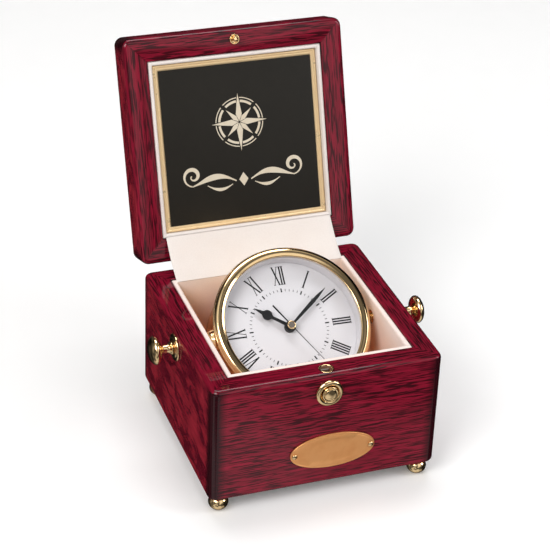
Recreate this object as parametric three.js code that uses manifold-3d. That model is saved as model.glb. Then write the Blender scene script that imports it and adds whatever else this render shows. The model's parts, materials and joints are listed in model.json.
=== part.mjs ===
// A boxed desk clock: a lacquered wooden case with a hinged lid, and inside it a round
// quartz clock that swings on two side pivots. Millimetres, +Z up, front towards -Y.
import * as THREE from 'three';
import { mergeVertices } from 'three/addons/utils/BufferGeometryUtils.js';
import Module from 'manifold-3d';

const wasm = await Module();
wasm.setup();

// ---------------------------------------------------------------- driving dimensions
// Clearance left between pieces that touch or fit into each other.
const gap = 0.3;

// Case and lid.
const caseWidth = 146;
const caseDepth = 144;
const caseHeight = 78.7;
const wall = 14.1;
const cornerRadius = 5.4;
const edgeRadius = 3;
const floorThickness = 6;
const floorRebate = 3;
const linerThickness = 3.2;
const linerFloor = 3;
const lidHeight = 22.5;
const lidWall = 15.2;
const lidRecess = 14;
const lidLip = 2.6;
const lidPlateDepth = 2.6;

// Feet.
const footHeight = 11;
const footRadius = 6.2;
const footStudCover = 0.9;
const footFlat = 2.2;
const footStudRadius = 2;
const footStudLength = 12;

// Hinges: axis behind the back face and above the rim.
const hingeBehind = 2.1;
const hingeAboveRim = 0.7;
const hingeSpacing = 76;
const hingeWidth = 26;
const hingeLeafDepth = 11;
const hingeLeafThickness = 1.1;
const knuckleRadius = 1.7;
const hingePinRadius = 0.65;
const hingePinFit = 0.2;
const lidOpenAngle = 108.9;

// Leatherette web between the lid and the case.
const webThickness = 0.9;
const webSag = 1.6;

// Push-button catch in the middle of the front wall.
const catchInset = 6.8;
const catchDrop = 12.6;
const escutcheonRadius = 8.75;
const escutcheonHeight = 1.9;
const barrelRadius = 5.9;
const buttonRadius = 5.1;
const buttonStandout = 3.4;
const buttonTravel = 1.8;
const buttonStemRadius = 1.9;
const socketRadius = 3.7;
const socketWall = 0.5;
const socketFlangeRadius = 4.5;
const socketFlangeSink = 0.5;
const socketBoreDepth = 6.5;
const studBallRadius = 1.5;
const studNeckRadius = 0.9;
const studFlangeRadius = 3.5;
const hookWidth = 5;
const hookThickness = 1;
const hookReach = 3;
const hookBelowRim = 2;
const springWire = 0.35;
const springTurns = 2.6;

// Oval nameplate on the front.
const nameplateWidth = 54;
const nameplateHeight = 24;
const nameplateThickness = 1;
const nameplateOffset = 4;
const nameplateDrop = 54.6;
const nailSpacing = 49;
const nailRadius = 1.7;
const nailShank = 0.85;
const nailLength = 5;

// Pivots and knobs, on one axis across the case.
const pivotForward = -0.15;
const pivotDrop = 12.5;
const pivotRadius = 2;
const knobRadius = 8.9;
const knobThickness = 8.2;
const knobStandout = 13.3;
const neckRadius = 2.7;
const rosetteRadius = 8.8;
const rosetteHeight = 2.4;
const bushRadius = 4.2;
const bossRadius = 7;

// The clock. Heights are measured from the dial's face, along its normal.
const clockTilt = 39.8;
const pivotAboveDial = -3.4;
const dialTurn = -1.3;
const dialInset = 2.8;
const dialThickness = 1;
const cupRadius = 47;
const cupWall = 1.5;
const cupDepth = 29.5;
const bezelOverhang = 3.2;
const bezelTop = 11.2;
const bezelFoot = 5.8;
const bezelBand = 2.6;
const sightInset = 3.6;
const crystalThickness = 1.8;
const crystalHeight = 7.8;
const rehautThickness = 2;
const coverThickness = 1.4;
const settingHoleRadius = 7;

// Hands.
const hourAngle = 304.8;
const minuteAngle = 51.6;
const secondAngle = 147;
const hourLength = 25.2;
const minuteLength = 34.6;
const secondLength = 29.5;
const secondTail = 16.8;
const handThickness = 0.5;
const handFit = 0.12;
const hourHandHeight = 2.5;
const minuteHandHeight = 3.7;
const secondHandHeight = 4.9;

// Quartz movement.
const movementSize = 56;
const movementShift = [0, 1.5];
const movementWall = 1.2;
const movementFrontDepth = 7.4;
const movementBackDepth = 8.6;
const bushThreadRadius = 3.3;
const bushTop = 2.1;
const batteryRadius = 7;
const batteryLength = 49;
const batteryNippleRadius = 2.6;
const contactSize = [0.5, 10, 8];
const wheelThickness = 0.6;
const meshGap = 0.15;
const wheelArborRadius = 0.4;
const hourPipeRadius = 2.5;
const cannonRadius = 1.35;
const secondArborRadius = 0.5;
// Levels of the wheels, from the dial inwards.
const levels = { hour: -4.7, motion: -5.9, centre: -7.6, third: -9.2, second: -10.8, fifth: -12.4 };
// Modules of the meshing pairs.
const modules = { hour: 0.24, centre: 0.25, motion: 0.3, third: 0.2647, second: 0.3, fifth: 0.25 };
const coilPlace = [2, 23, -12.8];
const coilRadius = 2.9;
const coilLength = 18;
const statorLevel = -14.2;
const statorThickness = 0.7;
const boardLow = [-24, 2, -16.2];
const boardHigh = [-8, 26, -15.4];

// ---------------------------------------------------------------- derived places
const rimZ = footHeight + caseHeight;
const backY = caseDepth / 2;
const sideX = caseWidth / 2;
const hingeY = backY + hingeBehind;
const hingeZ = rimZ + hingeAboveRim;
const catchY = -backY + catchInset;
const catchZ = rimZ - catchDrop;
const hookFront = catchInset + studBallRadius + 0.25;
const movementFace = -dialThickness - gap;
const movementBack = movementFace - movementFrontDepth - gap - movementBackDepth;
const innerSideX = sideX - wall;
const footInset = wall - floorRebate - footStudRadius - footStudCover;
const dialRadius = cupRadius - dialInset;
const bezelRadius = cupRadius + bezelOverhang;
const sightRadius = cupRadius - sightInset;
const linerInnerX = innerSideX - gap - linerThickness;
const linerInnerBackY = backY - wall - gap - linerThickness;
const degrees = Math.PI / 180;

// Axes of the train, from the centre of the dial.
const polar = (distance, angle, from = [0, 0]) => [
  from[0] + distance * Math.cos(angle * degrees),
  from[1] + distance * Math.sin(angle * degrees),
];
const thirdPlace = polar(9, 150);
const fifthPlace = polar(7.2, 60);
const rotorPlace = polar(7, 30, fifthPlace);
const motionPlace = polar(6, -20);
const settingPlace = polar(6, -10, motionPlace);

// ---------------------------------------------------------------- materials
function material(color, roughness, metalness, extra = {}) {
  return new THREE.MeshStandardMaterial({ color, roughness, metalness, ...extra });
}
const rosewood = () => material(0x6e1a28, 0.18, 0);
const brass = () => material(0xd9b36a, 0.16, 1);
const satinBrass = () => material(0xd8a878, 0.38, 1);
const leatherette = () => material(0xefe3dc, 0.62, 0);
const blackLacquer = () => material(0x1c1b18, 0.2, 0.1);
const blackPlastic = () => material(0x1a1a1c, 0.5, 0);
const whitePaint = () => material(0xe9e8f2, 0.45, 0);
const blackPaint = () => material(0x111114, 0.4, 0.2);
const glass = () => material(0xf4f8ff, 0.03, 0, { transparent: true, opacity: 0.25 });
const steel = () => material(0xb9bcc2, 0.3, 1);
const copper = () => material(0xb8652d, 0.4, 1);
const greenBoard = () => material(0x1f5a34, 0.5, 0);
const whitePlastic = () => material(0xe8e6df, 0.5, 0);
const board = () => material(0x8a6a48, 0.8, 0);

// ---------------------------------------------------------------- solids
function solid(geometry) {
  const bare = geometry.clone();
  bare.deleteAttribute('normal');
  bare.deleteAttribute('uv');
  const merged = mergeVertices(bare, 1e-4);
  const kept = [];
  const index = merged.index.array;
  for (let i = 0; i < index.length; i += 3) {
    const [a, b, c] = [index[i], index[i + 1], index[i + 2]];
    if (a !== b && b !== c && c !== a) {
      kept.push(a, b, c);
    }
  }
  const vertProperties = merged.attributes.position.array;
  const bodyOf = (corners) => {
    const triVerts = new Uint32Array(corners);
    return new wasm.Manifold(new wasm.Mesh({ numProp: 3, vertProperties, triVerts }));
  };
  const body = bodyOf(kept);
  if (body.volume() > 0) {
    return body;
  }
  for (let i = 0; i < kept.length; i += 3) {
    [kept[i], kept[i + 1]] = [kept[i + 1], kept[i]];
  }
  return bodyOf(kept);
}

function geometryOf(body) {
  const mesh = body.getMesh();
  const geometry = new THREE.BufferGeometry();
  const positions = new Float32Array(mesh.numVert * 3);
  for (let i = 0; i < mesh.numVert; i += 1) {
    for (let k = 0; k < 3; k += 1) {
      positions[3 * i + k] = mesh.vertProperties[mesh.numProp * i + k];
    }
  }
  geometry.setAttribute('position', new THREE.BufferAttribute(positions, 3));
  geometry.setIndex(new THREE.BufferAttribute(new Uint32Array(mesh.triVerts), 1));
  geometry.computeVertexNormals();
  return geometry;
}

const joined = (...shapes) => geometryOf(shapes.map(solid).reduce((a, b) => a.add(b)));
const cutFrom = (base, ...tools) => geometryOf(tools.map(solid).reduce((a, b) => a.subtract(b), solid(base)));

// A box given by its two corners.
function box(low, high) {
  const size = high.map((value, i) => value - low[i]);
  const geometry = new THREE.BoxGeometry(...size);
  geometry.translate(...low.map((value, i) => value + size[i] / 2));
  return geometry;
}

// A turned piece about Z from [radius, height] points.
function turned(points, segments = 32) {
  const profile = points.map(([radius, height]) => new THREE.Vector2(Math.max(radius, 0), height));
  const geometry = new THREE.LatheGeometry(profile, segments);
  geometry.rotateX(Math.PI / 2);
  return geometryOf(solid(geometry));
}

// A turned ring or tube: the profile closes on itself.
function turnedRing(points, segments = 32) {
  return turned([...points, points[0]], segments);
}

function tube(inner, outer, low, high, segments = 24) {
  return turnedRing([[inner, low], [outer, low], [outer, high], [inner, high]], segments);
}

function disc(radius, low, high, segments = 24) {
  return turned([[0, low], [radius, low], [radius, high], [0, high]], segments);
}

// Points of an arc about (r, h), angles in degrees from the outward direction.
function arc(r, h, radiusR, radiusH, from, to, steps) {
  return Array.from({ length: steps + 1 }, (_, i) => {
    const angle = (from + ((to - from) * i) / steps) * degrees;
    return [r + radiusR * Math.cos(angle), h + radiusH * Math.sin(angle)];
  });
}

function roundedRectangle(width, depth, radius) {
  const [x, y] = [width / 2, depth / 2];
  const shape = new THREE.Shape();
  shape.moveTo(-x + radius, -y);
  shape.lineTo(x - radius, -y);
  shape.absarc(x - radius, -y + radius, radius, -Math.PI / 2, 0);
  shape.lineTo(x, y - radius);
  shape.absarc(x - radius, y - radius, radius, 0, Math.PI / 2);
  shape.lineTo(-x + radius, y);
  shape.absarc(-x + radius, y - radius, radius, Math.PI / 2, Math.PI);
  shape.lineTo(-x, -y + radius);
  shape.absarc(-x + radius, -y + radius, radius, Math.PI, Math.PI * 1.5);
  return shape;
}

function prism(shape, low, high, curveSegments = 4) {
  const depth = high - low;
  const geometry = new THREE.ExtrudeGeometry(shape, { depth, bevelEnabled: false, curveSegments });
  geometry.translate(0, 0, low);
  return geometry;
}

// A block with rounded upright corners and rounded top and bottom edges.
function roundedBlock(width, depth, low, high, corner, edge) {
  const outline = roundedRectangle(width - 2 * edge, depth - 2 * edge, corner - edge);
  const geometry = new THREE.ExtrudeGeometry(outline, {
    depth: high - low - 2 * edge,
    bevelEnabled: true,
    bevelSize: edge,
    bevelThickness: edge,
    bevelSegments: 3,
    curveSegments: 3,
  });
  geometry.translate(0, 0, low + edge);
  return geometry;
}

// Turns a profile drawn in Y and Z, and extruded, so that it runs along X.
const acrossX = new THREE.Matrix4().makeBasis(
  new THREE.Vector3(0, 1, 0),
  new THREE.Vector3(0, 0, 1),
  new THREE.Vector3(1, 0, 0),
);
const alongX = (geometry) => geometry.clone().rotateY(Math.PI / 2);
const alongMinusY = (geometry) => geometry.clone().rotateX(Math.PI / 2);
const moved = (geometry, x, y, z) => geometry.clone().translate(x, y, z);

function piece(parent, name, geometry, finish) {
  const mesh = new THREE.Mesh(geometryOf(solid(geometry)), finish);
  mesh.name = name;
  parent.add(mesh);
  return mesh;
}

// ---------------------------------------------------------------- case
function mortise(z0, z1) {
  const cuts = [];
  for (const side of [-1, 1]) {
    const x = (side * hingeSpacing) / 2;
    const reach = hingeWidth / 2 + gap;
    const front = backY - hingeLeafDepth - gap;
    cuts.push(box([x - reach, front, z0], [x + reach, backY + gap, z1]));
  }
  return cuts;
}

function pivotHole(radius) {
  return moved(alongX(disc(radius, -sideX - gap, sideX + gap, 20)), 0, -pivotForward, rimZ - pivotDrop);
}

function caseShell() {
  const block = roundedBlock(caseWidth, caseDepth, footHeight, rimZ, cornerRadius, edgeRadius);
  const [ix, iy] = [innerSideX, backY - wall];
  const interior = box([-ix, -iy, footHeight - 1], [ix, iy, rimZ + 1]);
  const rebate = box(
    [-ix - floorRebate, -iy - floorRebate, footHeight - 1],
    [ix + floorRebate, iy + floorRebate, footHeight + floorThickness + gap],
  );
  const studHoles = footPlaces().map(([, x, y]) =>
    disc(footStudRadius + gap, footHeight - 1, footHeight + footStudLength + gap, 12).translate(x, y, 0));
  const barrelBore = moved(alongMinusY(disc(barrelRadius + gap, -hookFront, 5)), 0, -backY, catchZ);
  const socketBore = joined(
    disc(socketRadius + socketWall + gap, rimZ - socketBoreDepth, rimZ + 1, 20),
    disc(socketFlangeRadius + gap, rimZ - socketFlangeSink - gap, rimZ + 1, 20),
  );
  const leafDepth = hingeLeafThickness + 2 * gap;
  return cutFrom(
    block,
    interior,
    rebate,
    pivotHole(bushRadius + gap),
    ...studHoles,
    barrelBore,
    moved(socketBore, 0, catchY, 0),
    catchPocket(),
    ...mortise(rimZ - leafDepth, rimZ + 1),
  );
}

// The slot in the front wall in which the catch hook moves.
function catchPocket() {
  const front = -backY + hookFront - gap;
  const back = -backY + hookFront + hookThickness + buttonTravel + gap;
  const x = hookWidth / 2 + gap;
  return box([-x, front, catchZ - hookReach - gap], [x, back, rimZ - hookBelowRim + gap]);
}

function caseFloor() {
  const [ix, iy] = [innerSideX + floorRebate - gap, backY - wall + floorRebate - gap];
  return box([-ix, -iy, footHeight + gap], [ix, iy, footHeight + floorThickness]);
}

function caseLiner() {
  const [ox, oy] = [innerSideX - gap, backY - wall - gap];
  const [ix, iy] = [ox - linerThickness, oy - linerThickness];
  const low = footHeight + floorThickness + gap;
  return cutFrom(
    box([-ox, -oy, low], [ox, oy, rimZ]),
    box([-ix, -iy, low + linerFloor], [ix, iy, rimZ + 1]),
    pivotHole(bushRadius + gap),
  );
}

function footPlaces() {
  const [x, y] = [sideX - footInset, backY - footInset];
  return [
    ['foot_front_left', -x, -y],
    ['foot_front_right', x, -y],
    ['foot_back_left', -x, y],
    ['foot_back_right', x, y],
  ];
}

function foot() {
  const neck = 3.6;
  const middle = footRadius * 0.87;
  const top = footHeight - gap;
  return turned([
    [0, 0],
    [footFlat, 0],
    ...arc(0, middle, footRadius, middle, -58, 52, 6),
    [neck, top],
    [footStudRadius, top],
    [footStudRadius, footHeight + footStudLength],
    [0, footHeight + footStudLength],
  ], 18);
}

// ---------------------------------------------------------------- push-button catch
// Turned about the button's axis, with height zero on the front face.
function escutcheon() {
  const innerRadius = buttonRadius + gap;
  const back = catchInset - 1.2;
  return turnedRing([
    [buttonStemRadius + gap, -back],
    [barrelRadius, -back],
    [barrelRadius, gap],
    [escutcheonRadius, gap],
    [escutcheonRadius, 0.8],
    [escutcheonRadius - 1, escutcheonHeight],
    [innerRadius + 0.5, escutcheonHeight + 0.3],
    [innerRadius, escutcheonHeight],
    [innerRadius, -back + 0.9],
    [buttonStemRadius + gap, -back + 0.9],
  ], 24);
}

function button() {
  const base = -0.4;
  const stemEnd = gap - hookFront;
  return turned([
    [0, stemEnd],
    [buttonStemRadius, stemEnd],
    [buttonStemRadius, base],
    [buttonRadius, base],
    [buttonRadius, buttonStandout - 1.1],
    [buttonRadius - 0.7, buttonStandout - 0.5],
    [buttonRadius - 1.3, buttonStandout - 0.7],
    ...arc(0, buttonStandout - 0.7, buttonRadius - 1.6, 0.7, 0, 90, 3),
  ], 20);
}

function buttonSpring() {
  const [low, high] = [-catchInset + 3.4, -1];
  const radius = (buttonRadius + buttonStemRadius) / 2;
  const steps = 28;
  const points = Array.from({ length: steps + 1 }, (_, i) => {
    const angle = (i / steps) * springTurns * 2 * Math.PI;
    const height = low + ((high - low) * i) / steps;
    return new THREE.Vector3(radius * Math.cos(angle), radius * Math.sin(angle), height);
  });
  const wire = new THREE.Shape();
  wire.absarc(0, 0, springWire, 0, Math.PI * 2);
  return new THREE.ExtrudeGeometry(wire, {
    steps: steps + 4,
    extrudePath: new THREE.CatmullRomCurve3(points),
    bevelEnabled: false,
    curveSegments: 3,
  });
}

function catchHook() {
  const front = -backY + hookFront;
  const x = hookWidth / 2;
  return box([-x, front, catchZ - hookReach], [x, front + hookThickness, rimZ - hookBelowRim]);
}

function socket() {
  const outer = socketRadius + socketWall;
  const crown = gap / 2;
  return turnedRing([
    [socketRadius, -1.6],
    [outer, -1.6],
    [outer, -socketFlangeSink],
    [socketFlangeRadius, -socketFlangeSink],
    [socketFlangeRadius, 0],
    [outer, crown],
    [socketRadius + 0.2, crown],
    [socketRadius, 0],
  ], 20);
}

// ---------------------------------------------------------------- nameplate
function oval(width, height) {
  const shape = new THREE.Shape();
  shape.absellipse(0, 0, width / 2, height / 2, 0, Math.PI * 2);
  return shape;
}

function nameplate() {
  const plate = prism(oval(nameplateWidth, nameplateHeight), gap, gap + nameplateThickness, 24);
  const hole = disc(nailShank + gap, -1, gap + nameplateThickness + 1, 12);
  return cutFrom(plate, moved(hole, -nailSpacing / 2, 0, 0), moved(hole, nailSpacing / 2, 0, 0));
}

function nail() {
  const head = gap + nameplateThickness + gap;
  return turned([
    [0, -nailLength],
    [nailShank, -nailLength],
    [nailShank, head],
    [nailRadius, head],
    [nailRadius * 0.8, head + 0.6],
    [0, head + 0.9],
  ], 16);
}

function nailHoles() {
  const hole = alongMinusY(disc(nailShank + gap, -nailLength - gap, 2, 12));
  return [-1, 1].map((side) =>
    moved(hole, nameplateOffset + (side * nailSpacing) / 2, -backY, rimZ - nameplateDrop));
}

// ---------------------------------------------------------------- pivots and knobs
function rosetteBush() {
  const inner = pivotRadius + gap;
  const inside = -(wall + gap + linerThickness) + gap;
  return turnedRing([
    [inner, inside],
    [bushRadius, inside],
    [bushRadius, gap],
    [rosetteRadius, gap],
    [rosetteRadius, 0.9],
    [rosetteRadius - 1.4, 1.7],
    [rosetteRadius - 2.2, 1.5],
    [rosetteRadius - 4, rosetteHeight],
    [inner, rosetteHeight],
  ], 22);
}

function knob() {
  const shoulder = rosetteHeight + gap;
  const end = -(sideX - cupRadius + cupWall - 0.6);
  const half = knobThickness / 2;
  return turned([
    [0, end],
    [pivotRadius, end],
    [pivotRadius, shoulder],
    [neckRadius + 1.6, shoulder],
    [neckRadius + 1.4, shoulder + 0.8],
    [neckRadius, shoulder + 2],
    [neckRadius, knobStandout - half - 0.6],
    ...arc(0, knobStandout, knobRadius, half, -65, 90, 8),
  ], 22);
}

// The domed boss between the cup and the case's lining.
function pivotBoss() {
  const inner = pivotRadius + gap;
  const [low, high] = [cupRadius + gap, linerInnerX - 0.7];
  return turnedRing([
    [inner, low],
    [bossRadius, low],
    [bossRadius, low + 2.4],
    [bossRadius - 0.7, high - 2.2],
    [bossRadius - 2, high - 0.6],
    [inner + 0.8, high],
    [inner, high],
  ], 24);
}

// ---------------------------------------------------------------- hinges and lid
// Hinge pieces are drawn about the hinge axis, along X, with the closed rim below it.
function knuckle(from, to) {
  return alongX(tube(hingePinRadius + hingePinFit, knuckleRadius, from, to, 16));
}

function leaf(top, bottom, spans) {
  const reach = hingeWidth / 2;
  const front = -hingeLeafDepth - hingeBehind;
  const edge = -knuckleRadius - gap;
  const bar = box([-reach, front, bottom], [reach, edge, top]);
  const tongues = spans.map(([from, to]) =>
    box([from, edge - 0.2, bottom], [to, -hingePinRadius - gap, top]));
  const knuckles = spans.map(([from, to]) => knuckle(from, to));
  const bore = alongX(disc(hingePinRadius + hingePinFit, -reach - 1, reach + 1, 16));
  return cutFrom(joined(bar, ...tongues, ...knuckles), bore);
}

function caseLeaf() {
  const third = hingeWidth / 6;
  const top = -hingeAboveRim - 0.1;
  return leaf(top, top - hingeLeafThickness, [[-third + gap, third - gap]]);
}

function lidLeaf() {
  const [third, reach] = [hingeWidth / 6, hingeWidth / 2];
  const bottom = -hingeAboveRim + gap + 0.1;
  return leaf(bottom + hingeLeafThickness, bottom, [[-reach, -third], [third, reach]]);
}

function hingePin() {
  return alongX(disc(hingePinRadius, -hingeWidth / 2 - 0.2, hingeWidth / 2 + 0.2, 12));
}

// The lid's pieces are drawn closed, with the lid's rim at height zero.
function lidShell() {
  const [ix, iy] = [sideX - lidWall, backY - lidWall];
  const leafDepth = hingeLeafThickness + gap + 0.2;
  return cutFrom(
    roundedBlock(caseWidth, caseDepth, 0, lidHeight, cornerRadius, edgeRadius),
    box([-ix, -iy, -1], [ix, iy, lidRecess]),
    disc(studFlangeRadius - 0.8 + gap, -1, 8 + gap, 16).translate(0, catchY, 0),
    ...mortise(-1, leafDepth),
  );
}

function lidLiner() {
  const [ox, oy] = [sideX - lidWall - gap, backY - lidWall - gap];
  const [ix, iy] = [ox - lidLip, oy - lidLip];
  return cutFrom(
    box([-ox, -oy, 0], [ox, oy, lidRecess - gap]),
    box([-ix, -iy, -1], [ix, iy, lidPlateDepth + 2.2]),
  );
}

function lidPanel(border, low, high) {
  const [x, y] = [sideX - lidWall - gap - lidLip - border, backY - lidWall - gap - lidLip - border];
  return box([-x, -y, low], [x, y, high]);
}

function catchStud() {
  return turned([
    [0, -studBallRadius * 2.9],
    ...arc(0, -studBallRadius * 1.9, studBallRadius, studBallRadius, -60, 50, 5),
    [studNeckRadius, -1],
    [studNeckRadius, -gap - 0.4],
    [studFlangeRadius - 1, -gap - 0.4],
    [studFlangeRadius - 0.9, -gap - 0.9],
    [studFlangeRadius - 0.2, -gap - 0.9],
    [studFlangeRadius, -gap],
    [studFlangeRadius - 0.8, -gap],
    [studFlangeRadius - 0.8, 8],
    [0, 8],
  ], 14);
}

// The web hangs from the open lid's lining to the top of the case's lining.
function hingeWeb() {
  const closed = [linerInnerBackY + 0.9 - hingeY, gap - hingeAboveRim];
  const angle = -lidOpenAngle * degrees;
  const [c, s] = [Math.cos(angle), Math.sin(angle)];
  const upper = [hingeY + c * closed[0] - s * closed[1] - 1.5, hingeZ + s * closed[0] + c * closed[1]];
  const lower = [linerInnerBackY - 0.2, rimZ + 0.5];
  const steps = 8;
  const curve = Array.from({ length: steps + 1 }, (_, i) => {
    const t = i / steps;
    const sag = webSag * Math.sin(Math.PI * t);
    return [lower[0] + (upper[0] - lower[0]) * t, lower[1] + (upper[1] - lower[1]) * t - sag];
  });
  const shape = new THREE.Shape();
  shape.moveTo(...curve[0]);
  curve.slice(1).forEach(([y, z]) => shape.lineTo(y, z));
  [...curve].reverse().forEach(([y, z]) => shape.lineTo(y - webThickness * 0.5, z + webThickness * 0.87));
  const width = 2 * (linerInnerX + 0.5);
  const geometry = new THREE.ExtrudeGeometry(shape, { depth: width, bevelEnabled: false });
  geometry.translate(0, 0, -width / 2);
  return geometry.applyMatrix4(acrossX);
}

// ---------------------------------------------------------------- clock case
function clockCup() {
  const inner = cupRadius - cupWall;
  const top = crystalHeight - 0.5;
  const shoulder = -dialThickness - gap;
  const cup = turnedRing([
    [inner, -cupDepth],
    [cupRadius, -cupDepth],
    [cupRadius, top],
    [inner, top],
    [inner, shoulder],
    [dialRadius - 2, shoulder],
    [dialRadius - 2, shoulder - 1.8],
    [inner, shoulder - 3.2],
  ], 44);
  const hole = alongX(disc(pivotRadius + gap, inner - gap, cupRadius + 1, 16));
  return cutFrom(
    cup,
    moved(hole, 0, 0, pivotAboveDial),
    moved(hole.clone().rotateZ(Math.PI), 0, 0, pivotAboveDial),
  );
}

function cupCover() {
  const radius = cupRadius - cupWall - gap;
  const [x, y] = settingPlace;
  return cutFrom(
    disc(radius, -cupDepth, -cupDepth + coverThickness, 48),
    disc(settingHoleRadius, -cupDepth - 1, 0, 20).translate(x, y, 0),
  );
}

function bezel() {
  const seat = cupRadius - cupWall - 0.6;
  const lip = crystalHeight + crystalThickness + gap;
  const under = crystalHeight - 0.2;
  const crest = [cupRadius - 0.7, bezelFoot + bezelBand];
  return turnedRing([
    [seat, under],
    [cupRadius + gap, under],
    [cupRadius + gap, bezelFoot],
    [bezelRadius - 1, bezelFoot],
    ...arc(...crest, bezelRadius - crest[0], bezelTop - crest[1], -40, 90, 8),
    [sightRadius + 0.3, lip + 0.7],
    [sightRadius, lip + 0.3],
    [sightRadius + 0.1, lip],
    [seat, lip],
  ], 44);
}

const crystal = () => disc(cupRadius - cupWall - 0.9, crystalHeight, crystalHeight + crystalThickness, 48);

function rehaut() {
  const outer = cupRadius - cupWall - gap;
  const top = crystalHeight - gap;
  const foot = outer - rehautThickness - 0.2;
  return turnedRing([[foot, gap], [outer, gap], [outer, top], [sightRadius, top]], 48);
}

function dial() {
  const face = disc(dialRadius, -dialThickness, 0, 48);
  return cutFrom(face, disc(bushThreadRadius + gap, -dialThickness - 1, 1, 16));
}

// ---------------------------------------------------------------- movement
function movementFront() {
  const half = movementSize / 2;
  const low = movementFace - movementFrontDepth;
  const [bx, by] = movementShift;
  const outer = moved(prism(roundedRectangle(movementSize, movementSize, 3), low, movementFace), bx, by, 0);
  const inner = box(
    [bx - half + movementWall, by - half + movementWall, low - 1],
    [bx + half - movementWall, by + half - movementWall, movementFace - movementWall],
  );
  return cutFrom(
    joined(cutFrom(outer, inner), disc(bushThreadRadius, movementFace - 1, bushTop, 24)),
    disc(hourPipeRadius + gap, movementFace - 3, bushTop + 1, 20),
  );
}

function movementBackShell() {
  const half = movementSize / 2;
  const high = movementFace - movementFrontDepth - gap;
  const [bx, by] = movementShift;
  const outer = moved(prism(roundedRectangle(movementSize, movementSize, 3), movementBack, high), bx, by, 0);
  const inner = box(
    [bx - half + movementWall, by - half + movementWall, movementBack + movementWall],
    [bx + half - movementWall, by + half - movementWall, high + 1],
  );
  const bay = box(
    [bx - half + movementWall, by - half + movementWall, movementBack - 1],
    [bx + half - movementWall, by - half + movementWall + 2 * batteryRadius + 1, movementBack + 3],
  );
  return cutFrom(outer, inner, bay, disc(1.6, movementBack - 1, high, 14).translate(...settingPlace, 0));
}

function battery() {
  const cell = turned([
    [0, -batteryLength / 2],
    [batteryRadius, -batteryLength / 2],
    [batteryRadius, batteryLength / 2 - 1.6],
    [batteryNippleRadius, batteryLength / 2 - 1.4],
    [batteryNippleRadius, batteryLength / 2],
    [0, batteryLength / 2],
  ], 20);
  const [bx, by] = movementShift;
  const y = by - movementSize / 2 + movementWall + 0.4 + batteryRadius;
  return moved(alongX(cell), bx, y, movementBack + movementWall + batteryRadius - 0.8);
}

function contact(side) {
  const [bx, by] = movementShift;
  const [thickness, width, height] = contactSize;
  const x = bx + side * (movementSize / 2 - movementWall - gap - thickness / 2);
  const y = by - movementSize / 2 + movementWall + 2;
  const z = movementBack + movementWall + 3;
  return box([x - thickness / 2, y, z], [x + thickness / 2, y + width, z + height]);
}

function coil() {
  const end = coilLength / 2;
  const bobbin = joined(
    disc(coilRadius + 0.5, -end, 1 - end, 20),
    disc(coilRadius + 0.5, end - 1, end, 20),
    disc(coilRadius, 0.8 - end, end - 0.8, 20),
  );
  return moved(alongX(bobbin), ...coilPlace);
}

function stator() {
  const [x, y] = rotorPlace;
  const z = statorLevel;
  return cutFrom(
    box([x - 9, y - 4.6, z], [x + 9, y + 8.6, z + statorThickness]),
    disc(3.6, z - 1, z + 2, 20).translate(x, y, 0),
  );
}

const circuitBoard = () => box(boardLow, boardHigh);

// A toothed wheel of the given tooth count and outer radius.
function toothedShape(teeth, radius, depth) {
  const shape = new THREE.Shape();
  for (let i = 0; i < teeth * 2; i += 1) {
    const angle = (i / (teeth * 2)) * 2 * Math.PI;
    const r = i % 2 ? radius - depth : radius;
    const point = [r * Math.cos(angle), r * Math.sin(angle)];
    if (i === 0) {
      shape.moveTo(...point);
    } else {
      shape.lineTo(...point);
    }
  }
  return shape;
}

function wheel(teeth, module, level) {
  const outline = toothedShape(teeth, (module * teeth) / 2 - meshGap / 2, module);
  return prism(outline, level, level + wheelThickness);
}

function pinion(teeth, module, low, high) {
  const outline = toothedShape(teeth, (module * teeth) / 2 - meshGap / 2, module * 0.6);
  return prism(outline, low, high);
}

const arbor = (low, high) => disc(wheelArborRadius, low, high, 8);

function hourWheel() {
  const high = hourHandHeight + handThickness;
  return cutFrom(
    joined(wheel(40, modules.hour, levels.hour), disc(hourPipeRadius, levels.hour, high, 20)),
    disc(cannonRadius + meshGap + gap, levels.hour - 1, high + 1, 16),
  );
}

function centreWheel() {
  const high = minuteHandHeight + handThickness;
  const top = levels.motion + wheelThickness;
  const lap = 0.05;
  return cutFrom(
    joined(
      wheel(64, modules.centre, levels.centre),
      disc(cannonRadius, levels.centre, levels.motion, 16),
      pinion(10, modules.motion, levels.motion - lap, top + lap),
      disc(cannonRadius, top, high, 16),
    ),
    disc(secondArborRadius + gap, levels.centre - 1, high + 1, 12),
  );
}

function secondWheel() {
  return joined(
    wheel(40, modules.second, levels.second),
    pinion(8, modules.third, levels.second, levels.third + wheelThickness),
    disc(secondArborRadius, levels.second - 0.8, secondHandHeight, 12),
  );
}

function thirdWheel() {
  return joined(
    wheel(60, modules.third, levels.third),
    pinion(8, modules.centre, levels.third, levels.centre + wheelThickness),
    arbor(levels.third - 1, levels.centre + 2),
  ).translate(...thirdPlace, 0);
}

function fifthWheel() {
  return joined(
    wheel(48, modules.fifth, levels.fifth),
    pinion(8, modules.second, levels.fifth, levels.second + wheelThickness),
    arbor(levels.fifth - 0.7, levels.second + 1),
  ).translate(...fifthPlace, 0);
}

function rotor() {
  return joined(
    disc(3, levels.fifth - 2.6, levels.fifth - 0.6, 16),
    pinion(8, modules.fifth, levels.fifth - 0.8, levels.fifth + wheelThickness),
    arbor(levels.fifth - 3.4, levels.fifth + 1.4),
  ).translate(...rotorPlace, 0);
}

function motionWheel() {
  return joined(
    wheel(30, modules.motion, levels.motion),
    pinion(10, modules.hour, levels.motion, levels.hour + wheelThickness),
    arbor(levels.motion - 0.6, levels.hour + 1.2),
  ).translate(...motionPlace, 0);
}

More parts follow.
